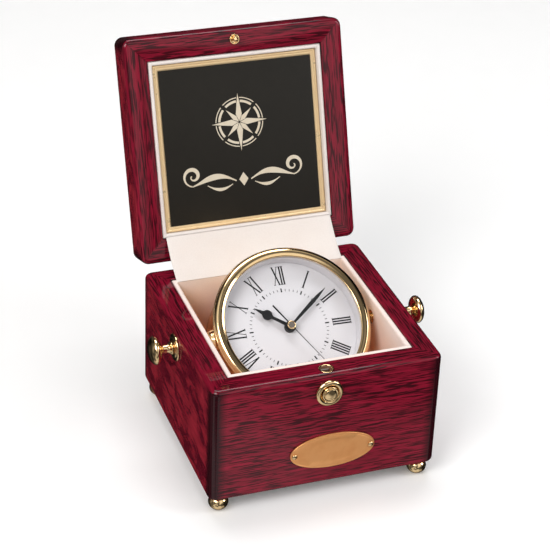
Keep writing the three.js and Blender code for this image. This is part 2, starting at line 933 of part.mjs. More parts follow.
function settingKnob() {
  const knobTop = movementBack - gap;
  return joined(
    disc(4.5, knobTop - 5, knobTop, 20),
    disc(1.2, knobTop - 1, levels.motion, 12),
    pinion(10, modules.motion, levels.motion, levels.motion + wheelThickness),
  ).translate(...settingPlace, 0);
}

// ---------------------------------------------------------------- hands
// Hands are drawn pointing along +Y from the centre.
function handBlank(outline, hubRadius, holeRadius) {
  const shape = new THREE.Shape();
  const points = [...outline, ...[...outline].reverse().map(([x, y]) => [-x, y])];
  shape.moveTo(...points[0]);
  points.slice(1).forEach((point) => shape.lineTo(...point));
  const hand = joined(prism(shape, 0, handThickness), disc(hubRadius, 0, handThickness, 24));
  return cutFrom(hand, disc(holeRadius, -1, 2, 16));
}

function hourHand() {
  const spade = arc(0, 16, 3.3, 3.3, -55, 50, 8);
  const outline = [[1.1, 0], [0.8, 12], ...spade, [0.7, 20.6], [0.35, hourLength]];
  return handBlank(outline, 3.6, hourPipeRadius + handFit);
}

function minuteHand() {
  const outline = [[0.9, 0], [0.85, 4], [1.25, 18], [0.9, 27], [0.2, minuteLength]];
  return handBlank(outline, 3.4, cannonRadius + handFit);
}

function secondHand() {
  const outline = [[0.45, -secondTail], [0.35, 0], [0.12, secondLength]];
  const blade = handBlank(outline, 2, secondArborRadius + handFit);
  return joined(blade, turned([
    [0, 0.1],
    [2.7, 0.1],
    [2.7, 1],
    [2.2, 1.3],
    [2, 1],
    [0, 1],
  ], 24));
}

// ---------------------------------------------------------------- assembly
function addCase(parent) {
  piece(parent, 'case_shell', cutFrom(caseShell(), ...nailHoles()), rosewood());
  piece(parent, 'case_floor_panel', caseFloor(), board());
  piece(parent, 'case_lining', caseLiner(), leatherette());
  for (const [name, x, y] of footPlaces()) {
    piece(parent, name, foot(), brass()).position.set(x, y, 0);
  }
  for (const [name, side] of [['left', -1], ['right', 1]]) {
    const holder = new THREE.Group();
    holder.position.set(side * sideX, -pivotForward, rimZ - pivotDrop);
    holder.rotation.y = (side * Math.PI) / 2;
    piece(holder, `${name}_rosette_bush`, rosetteBush(), brass());
    piece(holder, `${name}_knob`, knob(), brass());
    parent.add(holder);
  }
}

function addCatch(parent) {
  const holder = new THREE.Group();
  holder.position.set(0, -backY, catchZ);
  holder.rotation.x = Math.PI / 2;
  piece(holder, 'catch_escutcheon', escutcheon(), brass());
  piece(holder, 'catch_button', button(), brass());
  piece(holder, 'catch_spring', buttonSpring(), steel());
  parent.add(holder);
  piece(parent, 'catch_hook', catchHook(), steel());
  piece(parent, 'catch_socket', socket(), brass()).position.set(0, catchY, rimZ);
}

function addNameplate(parent) {
  const holder = new THREE.Group();
  holder.position.set(nameplateOffset, -backY, rimZ - nameplateDrop);
  holder.rotation.x = Math.PI / 2;
  piece(holder, 'nameplate', nameplate(), satinBrass());
  for (const [name, side] of [['left', -1], ['right', 1]]) {
    piece(holder, `nameplate_nail_${name}`, nail(), brass()).position.x = (side * nailSpacing) / 2;
  }
  parent.add(holder);
}

function addLid(parent) {
  const open = new THREE.Group();
  open.position.set(0, hingeY, hingeZ);
  open.rotation.x = -lidOpenAngle * degrees;
  const closed = new THREE.Group();
  closed.position.set(0, -hingeY, gap - hingeAboveRim);
  open.add(closed);
  piece(closed, 'lid_shell', lidShell(), rosewood());
  piece(closed, 'lid_lining', lidLiner(), leatherette());
  piece(closed, 'lid_gilt_frame', lidPanel(0.4, lidPlateDepth + 0.9, lidPlateDepth + 1.9), satinBrass());
  piece(closed, 'lid_black_plate', lidPanel(4, lidPlateDepth, lidPlateDepth + 0.6), blackLacquer());
  piece(closed, 'lid_catch_stud', catchStud(), brass()).position.set(0, catchY, 0);
  const axis = new THREE.Group();
  axis.position.set(0, hingeY, hingeZ);
  for (const [name, side] of [['left', -1], ['right', 1]]) {
    const x = (side * hingeSpacing) / 2;
    piece(open, `hinge_lid_leaf_${name}`, lidLeaf(), brass()).position.x = x;
    piece(axis, `hinge_case_leaf_${name}`, caseLeaf(), brass()).position.x = x;
    piece(axis, `hinge_pin_${name}`, hingePin(), steel()).position.x = x;
  }
  parent.add(open, axis);
  piece(parent, 'hinge_web', hingeWeb(), leatherette());
}

function addClock(parent) {
  const swing = new THREE.Group();
  swing.position.set(0, -pivotForward, rimZ - pivotDrop);
  swing.rotation.x = clockTilt * degrees;
  const clock = new THREE.Group();
  clock.position.z = -pivotAboveDial;
  swing.add(clock);
  parent.add(swing);
  piece(clock, 'clock_cup', clockCup(), brass());
  piece(clock, 'clock_back_cover', cupCover(), brass());
  piece(clock, 'clock_bezel', bezel(), brass());
  piece(clock, 'clock_crystal', crystal(), glass());
  piece(clock, 'dial_surround', rehaut(), whitePaint());
  piece(clock, 'dial', dial(), whitePaint());
  for (const [name, side] of [['left', -1], ['right', 1]]) {
    const boss = piece(swing, `pivot_boss_${name}`, pivotBoss(), brass());
    boss.rotation.y = (side * Math.PI) / 2;
  }
  addMovement(clock);
  addHands(clock);
}

function addMovement(clock) {
  piece(clock, 'movement_front', movementFront(), blackPlastic());
  piece(clock, 'movement_back', movementBackShell(), blackPlastic());
  piece(clock, 'battery', battery(), copper());
  piece(clock, 'battery_contact_left', contact(-1), steel());
  piece(clock, 'battery_contact_right', contact(1), steel());
  piece(clock, 'motor_coil', coil(), copper());
  piece(clock, 'motor_stator', stator(), steel());
  piece(clock, 'circuit_board', circuitBoard(), greenBoard());
  piece(clock, 'motor_rotor', rotor(), whitePlastic());
  piece(clock, 'fifth_wheel', fifthWheel(), whitePlastic());
  piece(clock, 'second_wheel', secondWheel(), whitePlastic());
  piece(clock, 'third_wheel', thirdWheel(), whitePlastic());
  piece(clock, 'centre_wheel', centreWheel(), whitePlastic());
  piece(clock, 'motion_wheel', motionWheel(), whitePlastic());
  piece(clock, 'hour_wheel', hourWheel(), whitePlastic());
  piece(clock, 'setting_knob', settingKnob(), blackPlastic());
}

function addHands(clock) {
  const hands = [
    ['hour_hand', hourHand(), hourHandHeight, hourAngle],
    ['minute_hand', minuteHand(), minuteHandHeight, minuteAngle],
    ['second_hand', secondHand(), secondHandHeight, secondAngle],
  ];
  for (const [name, geometry, height, angle] of hands) {
    const hand = piece(clock, name, geometry, blackPaint());
    hand.position.z = height;
    hand.rotation.z = (-angle + dialTurn) * degrees;
  }
}

function clockBox() {
  const group = new THREE.Group();
  addCase(group);
  addCatch(group);
  addNameplate(group);
  addLid(group);
  addClock(group);
  // The origin goes under the middle of the whole piece, standing with its lid open.
  group.updateMatrixWorld(true);
  const bounds = new THREE.Box3().setFromObject(group, true);
  const middle = bounds.getCenter(new THREE.Vector3());
  group.position.set(-middle.x, -middle.y, -bounds.min.z);
  return group;
}

export default clockBox();
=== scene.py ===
import json
import math

import bmesh
import bpy
from mathutils import Matrix, Vector


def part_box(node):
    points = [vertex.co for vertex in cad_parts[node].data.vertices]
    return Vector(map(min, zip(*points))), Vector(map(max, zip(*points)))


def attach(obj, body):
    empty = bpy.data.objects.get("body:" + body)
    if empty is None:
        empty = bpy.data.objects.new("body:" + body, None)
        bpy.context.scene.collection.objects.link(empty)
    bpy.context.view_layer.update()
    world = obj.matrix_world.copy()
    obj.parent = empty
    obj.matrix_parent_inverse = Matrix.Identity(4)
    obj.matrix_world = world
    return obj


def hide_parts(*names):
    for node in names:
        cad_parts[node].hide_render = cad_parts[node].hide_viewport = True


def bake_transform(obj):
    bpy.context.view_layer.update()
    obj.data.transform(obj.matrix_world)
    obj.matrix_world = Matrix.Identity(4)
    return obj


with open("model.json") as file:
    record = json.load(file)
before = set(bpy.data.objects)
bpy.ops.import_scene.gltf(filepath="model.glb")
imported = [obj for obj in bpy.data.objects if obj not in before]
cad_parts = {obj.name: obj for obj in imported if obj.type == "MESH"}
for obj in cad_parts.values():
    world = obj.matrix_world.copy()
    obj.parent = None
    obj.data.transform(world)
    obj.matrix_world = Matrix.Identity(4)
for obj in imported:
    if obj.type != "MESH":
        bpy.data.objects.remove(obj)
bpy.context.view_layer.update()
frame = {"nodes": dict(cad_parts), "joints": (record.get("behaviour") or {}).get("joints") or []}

MM = 0.001
TURN = 2 * math.pi

# ---------------------------------------------------------------- sizes, in millimetres unless noted
CASE_LOW, CASE_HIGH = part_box("case_shell")
CASE_Y = (CASE_LOW.y + CASE_HIGH.y) / 2          # metres
SIDE = CASE_HIGH.x / MM
BACK = (CASE_HIGH.y - CASE_LOW.y) / 2 / MM
FLOOR = CASE_LOW.z / MM
RIM = CASE_HIGH.z / MM
WALL = 14.1
CORNER = 5.4
EDGE = 3.0
GAP = 0.3
LINER = 3.2
REBATE = 3.0
REBATE_TOP = FLOOR + 6.3
LID_WALL = 15.2
LID_HEIGHT = 22.5
LID_RECESS = 14.0
LID_LIP = 2.6
LID_BELOW_HINGE = 0.4
LINING_BEHIND_PLATE = 2.2
PLATE_DEPTH = 2.6
PLATE_THICKNESS = 0.6
PLATE_INSET = 3.6
GILT_BORDER = 0.4
ORNAMENT_RAISED = 0.12
ORNAMENT_SUNK = 0.05
CATCH_INSET = 6.8
CATCH_DROP = 12.6
HINGE_SPACING = 76.0
HINGE_WIDTH = 26.0
LEAF_DEPTH = 11.0
LEAF_THICKNESS = 1.1
WEB_SAG = 1.4
WEB_RIPPLE = 0.16
OVAL = (27.0, 12.0)
NAIL_OUT = 24.5
BUSH = 4.2
BARREL = 5.9
SOCKET = 3.7
CATCH_Y = -BACK + CATCH_INSET

JOINTS = {j["name"]: j for j in frame["joints"]}
HINGE = Vector(JOINTS["lid_hinge"]["pos_m"])
PIVOT = Vector(JOINTS["clock_tilt"]["pos_m"])
LID_OPEN = math.radians(max(JOINTS["lid_hinge"]["range_deg"]))
TILT = -math.radians(min(JOINTS["clock_tilt"]["range_deg"]))
PIVOT_ABOVE_DIAL = -3.4
DIAL_TURN = math.radians(-1.3)

# ---------------------------------------------------------------- frames, as matrices in metres
def shift(x, y, z):
    return Matrix.Translation(Vector((x, y, z)) * MM)


CASE = Matrix.Translation((0, CASE_Y, 0))
LID = (
    Matrix.Translation(HINGE)
    @ Matrix.Rotation(-LID_OPEN, 4, "X")
    @ Matrix.Translation((0, CASE_Y - HINGE.y, -LID_BELOW_HINGE * MM))
)
CLOCK = Matrix.Translation(PIVOT) @ Matrix.Rotation(TILT, 4, "X") @ shift(0, 0, -PIVOT_ABOVE_DIAL)
SWING = Matrix.Translation(PIVOT) @ Matrix.Rotation(TILT, 4, "X")


def front_frame(x, z):
    """Drawn facing the viewer: local Z points out of the front of the case."""
    return CASE @ shift(x, -BACK, z) @ Matrix.Rotation(math.pi / 2, 4, "X")


def side_frame(side):
    """Local Z points out of the side of the case, on the pivot's axis."""
    place = Matrix.Translation((side * SIDE * MM, PIVOT.y, PIVOT.z))
    return place @ Matrix.Rotation(side * math.pi / 2, 4, "Y")


# ---------------------------------------------------------------- materials
def material(name, color, roughness, metallic=0.0, **sockets):
    made = bpy.data.materials.new(name)
    made.use_nodes = True
    shader = made.node_tree.nodes["Principled BSDF"]
    shader.inputs["Base Color"].default_value = (*color, 1)
    shader.inputs["Roughness"].default_value = roughness
    shader.inputs["Metallic"].default_value = metallic
    for key, value in sockets.items():
        shader.inputs[key.replace("_", " ")].default_value = value
    return made


class Graph:
    """Short names for the nodes that the materials are made of."""

    def __init__(self, made):
        self.tree = made.node_tree
        self.shader = self.tree.nodes["Principled BSDF"]

    def add(self, kind, **inputs):
        node = self.tree.nodes.new("ShaderNode" + kind)
        for key, value in inputs.items():
            self.put(node.inputs[key.replace("_", " ")], value)
        return node

    def put(self, socket, value):
        if isinstance(value, bpy.types.NodeSocket):
            self.tree.links.new(value, socket)
        else:
            socket.default_value = value

    def place(self, scale=(1, 1, 1), source="Object"):
        coordinates = self.add("TexCoord").outputs[source]
        return self.add("Mapping", Vector=coordinates, Scale=scale).outputs[0]

    def noise(self, vector, scale=1.0, detail=2.0, roughness=0.5, distortion=0.0):
        return self.add(
            "TexNoise", Vector=vector, Scale=scale, Detail=detail, Roughness=roughness, Distortion=distortion
        ).outputs["Fac"]

    def ramp(self, factor, low, high, a=0.0, b=1.0):
        node = self.add("MapRange", Value=factor)
        for i, value in zip((1, 2, 3, 4), (low, high, a, b)):
            node.inputs[i].default_value = value
        return node.outputs[0]

    def math(self, kind, a, b=0.0):
        node = self.tree.nodes.new("ShaderNodeMath")
        node.operation = kind
        self.put(node.inputs[0], a)
        self.put(node.inputs[1], b)
        return node.outputs[0]

    def mix(self, factor, a, b):
        node = self.tree.nodes.new("ShaderNodeMix")
        node.data_type = "RGBA"
        self.put(node.inputs["Factor"], factor)
        self.put(node.inputs[6], a if isinstance(a, bpy.types.NodeSocket) else (*a, 1))
        self.put(node.inputs[7], b if isinstance(b, bpy.types.NodeSocket) else (*b, 1))
        return node.outputs[2]

    def mix_vector(self, factor, a, b):
        node = self.tree.nodes.new("ShaderNodeMix")
        node.data_type = "VECTOR"
        self.put(node.inputs["Factor"], factor)
        self.put(node.inputs[4], a)
        self.put(node.inputs[5], b)
        return node.outputs[1]

    def bump(self, height, strength, distance):
        node = self.add("Bump", Height=height, Strength=strength, Distance=distance)
        self.put(self.shader.inputs["Normal"], node.outputs[0])

    def color(self, value):
        self.put(self.shader.inputs["Base Color"], value)

    def rough(self, value):
        self.put(self.shader.inputs["Roughness"], value)


WOOD_BRIGHT = (0.240, 0.0065, 0.025)
WOOD_MID = (0.128, 0.0048, 0.0145)
WOOD_DARK = (0.018, 0.0022, 0.0042)


def wood(name, panel_top):
    """Streaked rosewood under clear lacquer.

    The four boards meet in mitres, and each board's grain runs along it.
    """
    made = material(name, WOOD_MID, 0.32, Coat_Weight=0.50, Coat_Roughness=0.02, Coat_IOR=1.6)
    made.node_tree.nodes["Principled BSDF"].inputs["Specular IOR Level"].default_value = 0.0
    g = Graph(made)
    coordinates = g.add("TexCoord")
    parts = g.add("SeparateXYZ", Vector=coordinates.outputs["Object"])
    normal = g.add("SeparateXYZ", Vector=coordinates.outputs["Normal"])
    x, y, z = parts.outputs[0], parts.outputs[1], parts.outputs[2]
    on_side = g.math("GREATER_THAN", g.math("ABSOLUTE", x), g.math("ADD", g.math("ABSOLUTE", y), 0.001))
    side_vector = g.add("CombineXYZ", X=g.math("ADD", y, 0.31), Y=g.math("ADD", x, 0.17), Z=z).outputs[0]
    front_vector = g.add("CombineXYZ", X=x, Y=y, Z=z).outputs[0]
    along_side = on_side
    if panel_top:
        flat = g.math("GREATER_THAN", normal.outputs[2], 0.5)
        along_side = g.math("MULTIPLY", on_side, g.math("SUBTRACT", 1.0, flat))
    grain = g.mix_vector(along_side, front_vector, side_vector)
    wander = g.noise(g.add("Mapping", Vector=grain, Scale=(9, 30, 30)).outputs[0], 1, 2)
    lifted = g.add("VectorMath", )
    lifted.operation = "ADD"
    g.put(lifted.inputs[0], grain)
    g.put(lifted.inputs[1], g.add("CombineXYZ", X=0.0, Y=g.ramp(wander, 0, 1, -0.0016, 0.0016),
                                  Z=g.ramp(wander, 0, 1, -0.0018, 0.0018)).outputs[0])
    grain = lifted.outputs[0]

    def stretched(scale, detail, roughness=0.5, distortion=0.0):
        mapped = g.add("Mapping", Vector=grain, Scale=scale).outputs[0]
        return g.noise(mapped, 1, detail, roughness, distortion)

    fleck = g.ramp(stretched((80, 1250, 1250), 1.0, 0.4), 0.47, 0.58)
    thick = g.ramp(stretched((14, 120, 120), 2), 0.28, 0.48, 0.45, 1.0)
    fleck = g.math("MULTIPLY", fleck, thick)
    band = g.ramp(stretched((10, 420, 420), 4, 0.55), 0.34, 0.66)
    clouded = g.add("Mapping", Vector=grain, Scale=(34, 62, 62)).outputs[0]
    cloud = g.ramp(g.noise(clouded, 1, 4, 0.6, 1.6), 0.40, 0.62)
    pores = g.ramp(stretched((260, 2600, 2600), 2, 0.6), 0.60, 0.74)
    tone = g.mix(band, WOOD_MID, WOOD_BRIGHT)
    figured = g.mix(cloud, (0.085, 0.0048, 0.0125), (0.290, 0.021, 0.034))
    upright = g.math("LESS_THAN", g.math("ABSOLUTE", normal.outputs[2]), 0.5)
    figure = g.math("MULTIPLY", g.math("MULTIPLY", along_side, upright), 0.85)
    tone = g.mix(figure, tone, figured)
    dark = g.math("MULTIPLY", fleck, g.ramp(figure, 0, 1, 0.88, 0.35))
    tone = g.mix(dark, tone, WOOD_DARK)
    tone = g.mix(g.math("MULTIPLY", pores, 0.35), tone, WOOD_DARK)
    # Distance from the mitre diagonal. Painted dark reflection: the upright faces turn near-black within 4.5
    # mm of each vertical corner and fade back to the wood by 10 mm.
    distance = g.math("ABSOLUTE", g.math("SUBTRACT", g.math("SUBTRACT", g.math("ABSOLUTE", x), 0.001),
                                         g.math("ABSOLUTE", y)))
    tone = g.mix(g.math("MULTIPLY", g.ramp(distance, 0.0045, 0.0100, 0.97, 0.0), upright), tone, WOOD_DARK)
    mitre = g.ramp(distance, 0.0, 0.00022, 0.75, 0.0)
    if panel_top:
        mitre = g.math("MULTIPLY", mitre, g.math("SUBTRACT", 1.0, flat))
    tone = g.mix(mitre, tone, WOOD_DARK)
    g.color(tone)
    g.rough(g.ramp(band, 0, 1, 0.40, 0.26))
    g.bump(g.math("ADD", fleck, pores), 0.10, 0.00008)
    return made


def metal(name, color, roughness, wear, lines=(0, 0, 0), line_strength=0.0, metallic=1.0):
    """Metal with faint turning or brushing lines, handling marks and tarnish."""
    made = material(name, color, roughness, metallic)
    g = Graph(made)
    smudge = g.noise(g.place((120, 120, 120)), 1, 4, 0.6)
    fine = g.noise(g.place((1500, 1500, 1500)), 1, 3, 0.6)
    dull = tuple(c * f for c, f in zip(color, (0.82, 0.66, 0.50)))
    g.color(g.mix(g.ramp(smudge, 0.45, 0.80, 0.0, wear), color, dull))
    smudged = g.ramp(smudge, 0.3, 0.75, roughness * 0.7, roughness * 1.5)
    g.rough(g.math("ADD", smudged, g.ramp(fine, 0, 1, 0, 0.03)))
    if line_strength:
        g.bump(g.noise(g.place(lines), 1, 3, 0.7), line_strength, 0.00003)
    else:
        g.bump(fine, 0.02, 0.00002)
    return made


def leatherette(name, color, shade, painted_bounce_and_shade=False):
    """Fine-grained leathercloth: small irregular cells, soft sheen and slightly uneven colour."""
    made = material(name, color, 0.55, Sheen_Weight=0.15, Sheen_Roughness=0.4)
    g = Graph(made)
    place = g.place((1, 1, 1))
    warp = g.noise(place, 260, 3, 0.6)
    cells = g.add("TexVoronoi", Vector=place, Scale=1150.0)
    cells.feature = "DISTANCE_TO_EDGE"
    grain = g.ramp(cells.outputs["Distance"], 0.0, 0.22)
    broad = g.noise(place, 22, 3, 0.55)
    tone = g.mix(g.ramp(broad, 0.35, 0.7), color, shade)
    # Painted warm bounce light and shade: the lining turns a deeper orange from 2 mm to 38 mm below the rim.
    if painted_bounce_and_shade:
        height = g.add("SeparateXYZ", Vector=place).outputs[2]
        tone = g.mix(g.ramp(height, (RIM - 2) * MM, (RIM - 38) * MM), tone, (1.0, 0.60, 0.42))
    # Painted shade: the creases between the grain's cells darken towards a deeper tone.
    crease_shade = g.math("MULTIPLY", g.math("SUBTRACT", 1.0, grain), 0.22)
    g.color(g.mix(crease_shade, tone, tuple(c * 0.72 for c in shade)))
    g.rough(g.ramp(warp, 0.3, 0.7, 0.48, 0.66))
    g.bump(g.math("ADD", grain, g.math("MULTIPLY", warp, 0.8)), 0.22, 0.00012)
    return made


def paint(name, color, roughness, speckle=0.04, scale=900, **sockets):
    """Painted or moulded surface with a faint texture and uneven gloss."""
    made = material(name, color, roughness, **sockets)
    g = Graph(made)
    fine = g.noise(g.place((scale, scale, scale)), 1, 3, 0.6)
    broad = g.noise(g.place((60, 60, 60)), 1, 3, 0.5)
    other = tuple(max(c * (1 - speckle) - 0.001, 0) for c in color)
    g.color(g.mix(g.math("ADD", g.math("MULTIPLY", fine, 0.5), g.math("MULTIPLY", broad, 0.5)), color, other))
    g.rough(g.ramp(broad, 0.3, 0.7, roughness * 0.88, roughness * 1.15))
    g.bump(fine, 0.05, 0.00003)
    return made


BRASS_COLOR = (0.96, 0.70, 0.38)
CASE_WOOD = wood("lacquered_rosewood_case", False)
LID_WOOD = wood("lacquered_rosewood_lid", True)
BRASS = metal("polished_brass", BRASS_COLOR, 0.075, 0.35)
GILT = metal("gilt_moulding", (0.88, 0.66, 0.38), 0.34, 0.25, metallic=0.45)
INLAY = metal("gilt_print", (0.74, 0.66, 0.52), 0.42, 0.35, metallic=0.25)
SATIN = metal("satin_brass", (0.95, 0.45, 0.17), 0.36, 0.45, (60, 2600, 2600), 0.2, metallic=0.7)
STEEL = metal("plain_steel", (0.62, 0.63, 0.66), 0.28, 0.2, (900, 900, 90), 0.06)
CREAM = leatherette("cream_leathercloth", (0.80, 0.745, 0.71), (0.77, 0.69, 0.645))
PEACH = leatherette("cream_leathercloth_lining", (0.94, 0.81, 0.755), (0.92, 0.76, 0.69), True)
DIAL_WHITE = paint("dial_paint", (0.745, 0.735, 0.765), 0.42, 0.03)
DIAL_BLACK = paint("dial_print", (0.006, 0.006, 0.008), 0.5, 0.3, Specular_IOR_Level=0.2)
HAND_BLACK = paint("hand_paint", (0.004, 0.004, 0.005), 0.40, 0.3, Specular_IOR_Level=0.25)
PLATE_BLACK = paint("plate_lacquer", (0.0145, 0.0122, 0.0088), 0.42, 0.25, 240, Specular_IOR_Level=0.25)
BLACK_PLASTIC = paint("moulded_black_plastic", (0.018, 0.018, 0.020), 0.48, 0.3, 1600)
WHITE_PLASTIC = paint("moulded_white_plastic", (0.78, 0.76, 0.70), 0.42, 0.08, 1600)
BOARD = paint("baize_board", (0.030, 0.075, 0.042), 0.95, 0.5, 2400, Sheen_Weight=0.6)
HOLE = paint("socket_inside", (0.30, 0.15, 0.085), 0.55, 0.4)
CIRCUIT = paint("solder_mask", (0.02, 0.16, 0.05), 0.3, 0.3)
COPPER = metal("winding_wire", (0.72, 0.30, 0.13), 0.35, 0.4, (3500, 20, 20), 0.3)
CELL = paint("battery_sleeve", (0.30, 0.17, 0.05), 0.3, 0.2)
RUBBER_HUB = paint("hub_centre", (0.17, 0.14, 0.115), 0.4, 0.25)

CRYSTAL = material("crystal_glass", (0.25, 0.26, 0.27), 0.02, Alpha=0.025, IOR=1.5)
glass = Graph(CRYSTAL)
glass.rough(glass.ramp(glass.noise(glass.place((40, 40, 40)), 1, 3), 0.3, 0.7, 0.012, 0.05))


# ---------------------------------------------------------------- mesh helpers
def build(name, points, faces, matrix, finish, smooth=32):
    mesh = bpy.data.meshes.new(name)
    mesh.from_pydata([Vector(p) * MM for p in points], [], faces)
    work = bmesh.new()
    work.from_mesh(mesh)
    bmesh.ops.remove_doubles(work, verts=work.verts, dist=1e-7)
    bmesh.ops.recalc_face_normals(work, faces=work.faces)
    work.to_mesh(mesh)
    work.free()
    obj = bpy.data.objects.new(name, mesh)
    bpy.context.scene.collection.objects.link(obj)
    obj.matrix_world = matrix
    mesh.materials.append(finish)
    shade(obj, smooth)
    return obj


def shade(obj, angle):
    mesh = obj.data
    mesh.polygons.foreach_set("use_smooth", [True] * len(mesh.polygons))
    mesh.set_sharp_from_angle(angle=math.radians(angle))


def own(obj, body, slot, *nodes):
    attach(obj, body)
    if nodes:
        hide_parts(*nodes)
    return obj


def soften(points, radius, steps=4, closed=False):
    """Rounds the corners of a profile."""
    out, count = [], len(points)
    for i, p in enumerate(points):
        if not closed and i in (0, count - 1):
            out.append(tuple(p))
            continue
        here = Vector(p)
        to_last, to_next = Vector(points[i - 1]) - here, Vector(points[(i + 1) % count]) - here
        reach = min(radius, to_last.length * 0.45, to_next.length * 0.45)
        if reach < 1e-4 or to_last.angle(to_next) > math.radians(172):
            out.append(tuple(p))
            continue
        a, b = here + to_last.normalized() * reach, here + to_next.normalized() * reach
        for k in range(steps + 1):
            t = k / steps
            out.append(tuple(a * (1 - t) ** 2 + here * (2 * t * (1 - t)) + b * t * t))
    return out


def arc(r, h, radius_r, radius_h, start, stop, steps):
    return [
        (r + radius_r * math.cos(math.radians(start + (stop - start) * i / steps)),
         h + radius_h * math.sin(math.radians(start + (stop - start) * i / steps)))
        for i in range(steps + 1)
    ]


def lathe(profile, steps=96, closed=False):
    """Points and faces of a piece turned about Z.

    A profile that starts and ends on the axis makes a closed piece.
    """
    points, rows = [], []
    for r, h in profile:
        if r < 1e-6:
            rows.append([len(points)] * steps)
            points.append((0, 0, h))
            continue
        rows.append(list(range(len(points), len(points) + steps)))
        points += [(r * math.cos(TURN * k / steps), r * math.sin(TURN * k / steps), h) for k in range(steps)]
    if closed:
        rows.append(rows[0])
    faces = []
    for a, b in zip(rows, rows[1:]):
        for k in range(steps):
            n = (k + 1) % steps
            ring = []
            for index in (a[k], a[n], b[n], b[k]):
                if index not in ring:
                    ring.append(index)
            if len(ring) > 2:
                faces.append(ring)
    return points, faces


def turned(name, profile, matrix, finish, steps=96, closed=False, rounding=0.25, smooth=32):
    points, faces = lathe(soften(profile, rounding, 3, closed) if rounding else profile, steps, closed)
    return build(name, points, faces, matrix, finish, smooth)


def rectangle(x, y, radius, steps):
    """Outline of a rounded rectangle with the same count of points for any radius."""
    radius = max(radius, 0.02)
    out = []
    for cx, cy, start in ((x, y, 0), (-x, y, 90), (-x, -y, 180), (x, -y, 270)):
        mx, my = cx - math.copysign(radius, cx), cy - math.copysign(radius, cy)
        for i in range(steps + 1):
            a = math.radians(start + 90 * i / steps)
            out.append((mx + radius * math.cos(a), my + radius * math.sin(a)))
    return out


def loft(loops, closed=False):
    """Skins a stack of outlines. The first and last are capped unless the stack closes on itself."""
    points, faces, count = [], [], len(loops[0])
    for loop in loops:
        points += loop
    pairs = list(zip(range(len(loops)), range(1, len(loops))))
    if closed:
        pairs.append((len(loops) - 1, 0))
    for a, b in pairs:
        for k in range(count):
            n = (k + 1) % count
            faces.append((a * count + k, a * count + n, b * count + n, b * count + k))
    if not closed:
        faces.append(tuple(reversed(range(count))))
        faces.append(tuple(range((len(loops) - 1) * count, len(loops) * count)))
    return points, faces


def outline(x, y, radius, z, steps=7):
    return [(px, py, z) for px, py in rectangle(x, y, radius, steps)]


def block(name, low, high, radius, edge, matrix, finish):
    """A slab with rounded corners and softened edges, between two corners."""
    cx, cy = (low[0] + high[0]) / 2, (low[1] + high[1]) / 2
    x, y = (high[0] - low[0]) / 2, (high[1] - low[1]) / 2
    loops = []
    for z, way in ((low[2], 1), (high[2], -1)):
        ring = []
        for i in range(5):
            a = math.radians(90 * i / 4)
            inset = edge * (1 - math.sin(a))
            ring.append([(px + cx, py + cy, z + way * edge * (1 - math.cos(a)))
                         for px, py in rectangle(x - inset, y - inset, radius - inset, 5)])
        loops += ring if way == 1 else ring[::-1]
    points, faces = loft(loops)
    return build(name, points, faces, matrix, finish)


def plain_box(low, high, matrix):
    x0, y0, z0 = low
    x1, y1, z1 = high
    points = [(x, y, z) for x in (x0, x1) for y in (y0, y1) for z in (z0, z1)]
    faces = [(0, 1, 3, 2), (4, 6, 7, 5), (0, 4, 5, 1), (2, 3, 7, 6), (0, 2, 6, 4), (1, 5, 7, 3)]
    return build("cutter", points, faces, matrix, CREAM)


def bore(radius, low, high, matrix, steps=64):
    points, faces = lathe([(0, low), (radius, low), (radius, high), (0, high)], steps)
    return build("cutter", points, faces, matrix, CREAM)


def cut(obj, tools, smooth=32):
    for tool in tools:
        modifier = obj.modifiers.new("cut", "BOOLEAN")
        modifier.operation = "DIFFERENCE"
        modifier.solver = "EXACT"
        modifier.object = tool
    graph = bpy.context.evaluated_depsgraph_get()
    mesh = bpy.data.meshes.new_from_object(obj.evaluated_get(graph))
    obj.modifiers.clear()
    obj.data = mesh
    for tool in tools:
        bpy.data.objects.remove(tool)
    work = bmesh.new()
    work.from_mesh(mesh)
    bmesh.ops.remove_doubles(work, verts=work.verts, dist=2e-7)
    bmesh.ops.dissolve_degenerate(work, edges=work.edges, dist=1e-7)
    work.to_mesh(mesh)
    work.free()
    shade(obj, smooth)
    return obj


# ---------------------------------------------------------------- wooden case
def edge_loops(z, way, steps=8):
    """The rounded edge between the side walls and a flat face at height z, from the wall to the face."""
    loops = []
    for i in range(steps + 1):
        a = math.radians(90 * i / steps)
        inset = EDGE * (1 - math.cos(a))
        loops.append(outline(SIDE - inset, BACK - inset, CORNER - inset, z - way * EDGE * (1 - math.sin(a))))
    inset = EDGE + 0.15
    loops.append(outline(SIDE - inset, BACK - inset, CORNER - inset, z))
    return loops


def mortises(z0, z1, matrix):
    reach, front = HINGE_WIDTH / 2 + GAP, BACK - LEAF_DEPTH - GAP
    return [
        plain_box(
            (side * HINGE_SPACING / 2 - reach, front, z0),
            (side * HINGE_SPACING / 2 + reach, BACK + 1, z1),
            matrix,
        )
        for side in (-1, 1)
    ]


def inner_loops(x, y, z_low, z_high, round_top):
    """The opening's wall from the top down, with a small rounding at the top."""
    loops = [outline(x + round_top + 0.12, y + round_top + 0.12, 0.5 + round_top, z_high)]
    for i in range(5):
        a = math.radians(90 * i / 4)
        inset = round_top * (1 - math.sin(a))
        loops.append(outline(x + inset, y + inset, 0.5 + inset, z_high - round_top * (1 - math.cos(a))))
    loops.append(outline(x, y, 0.5, z_low))
    return loops


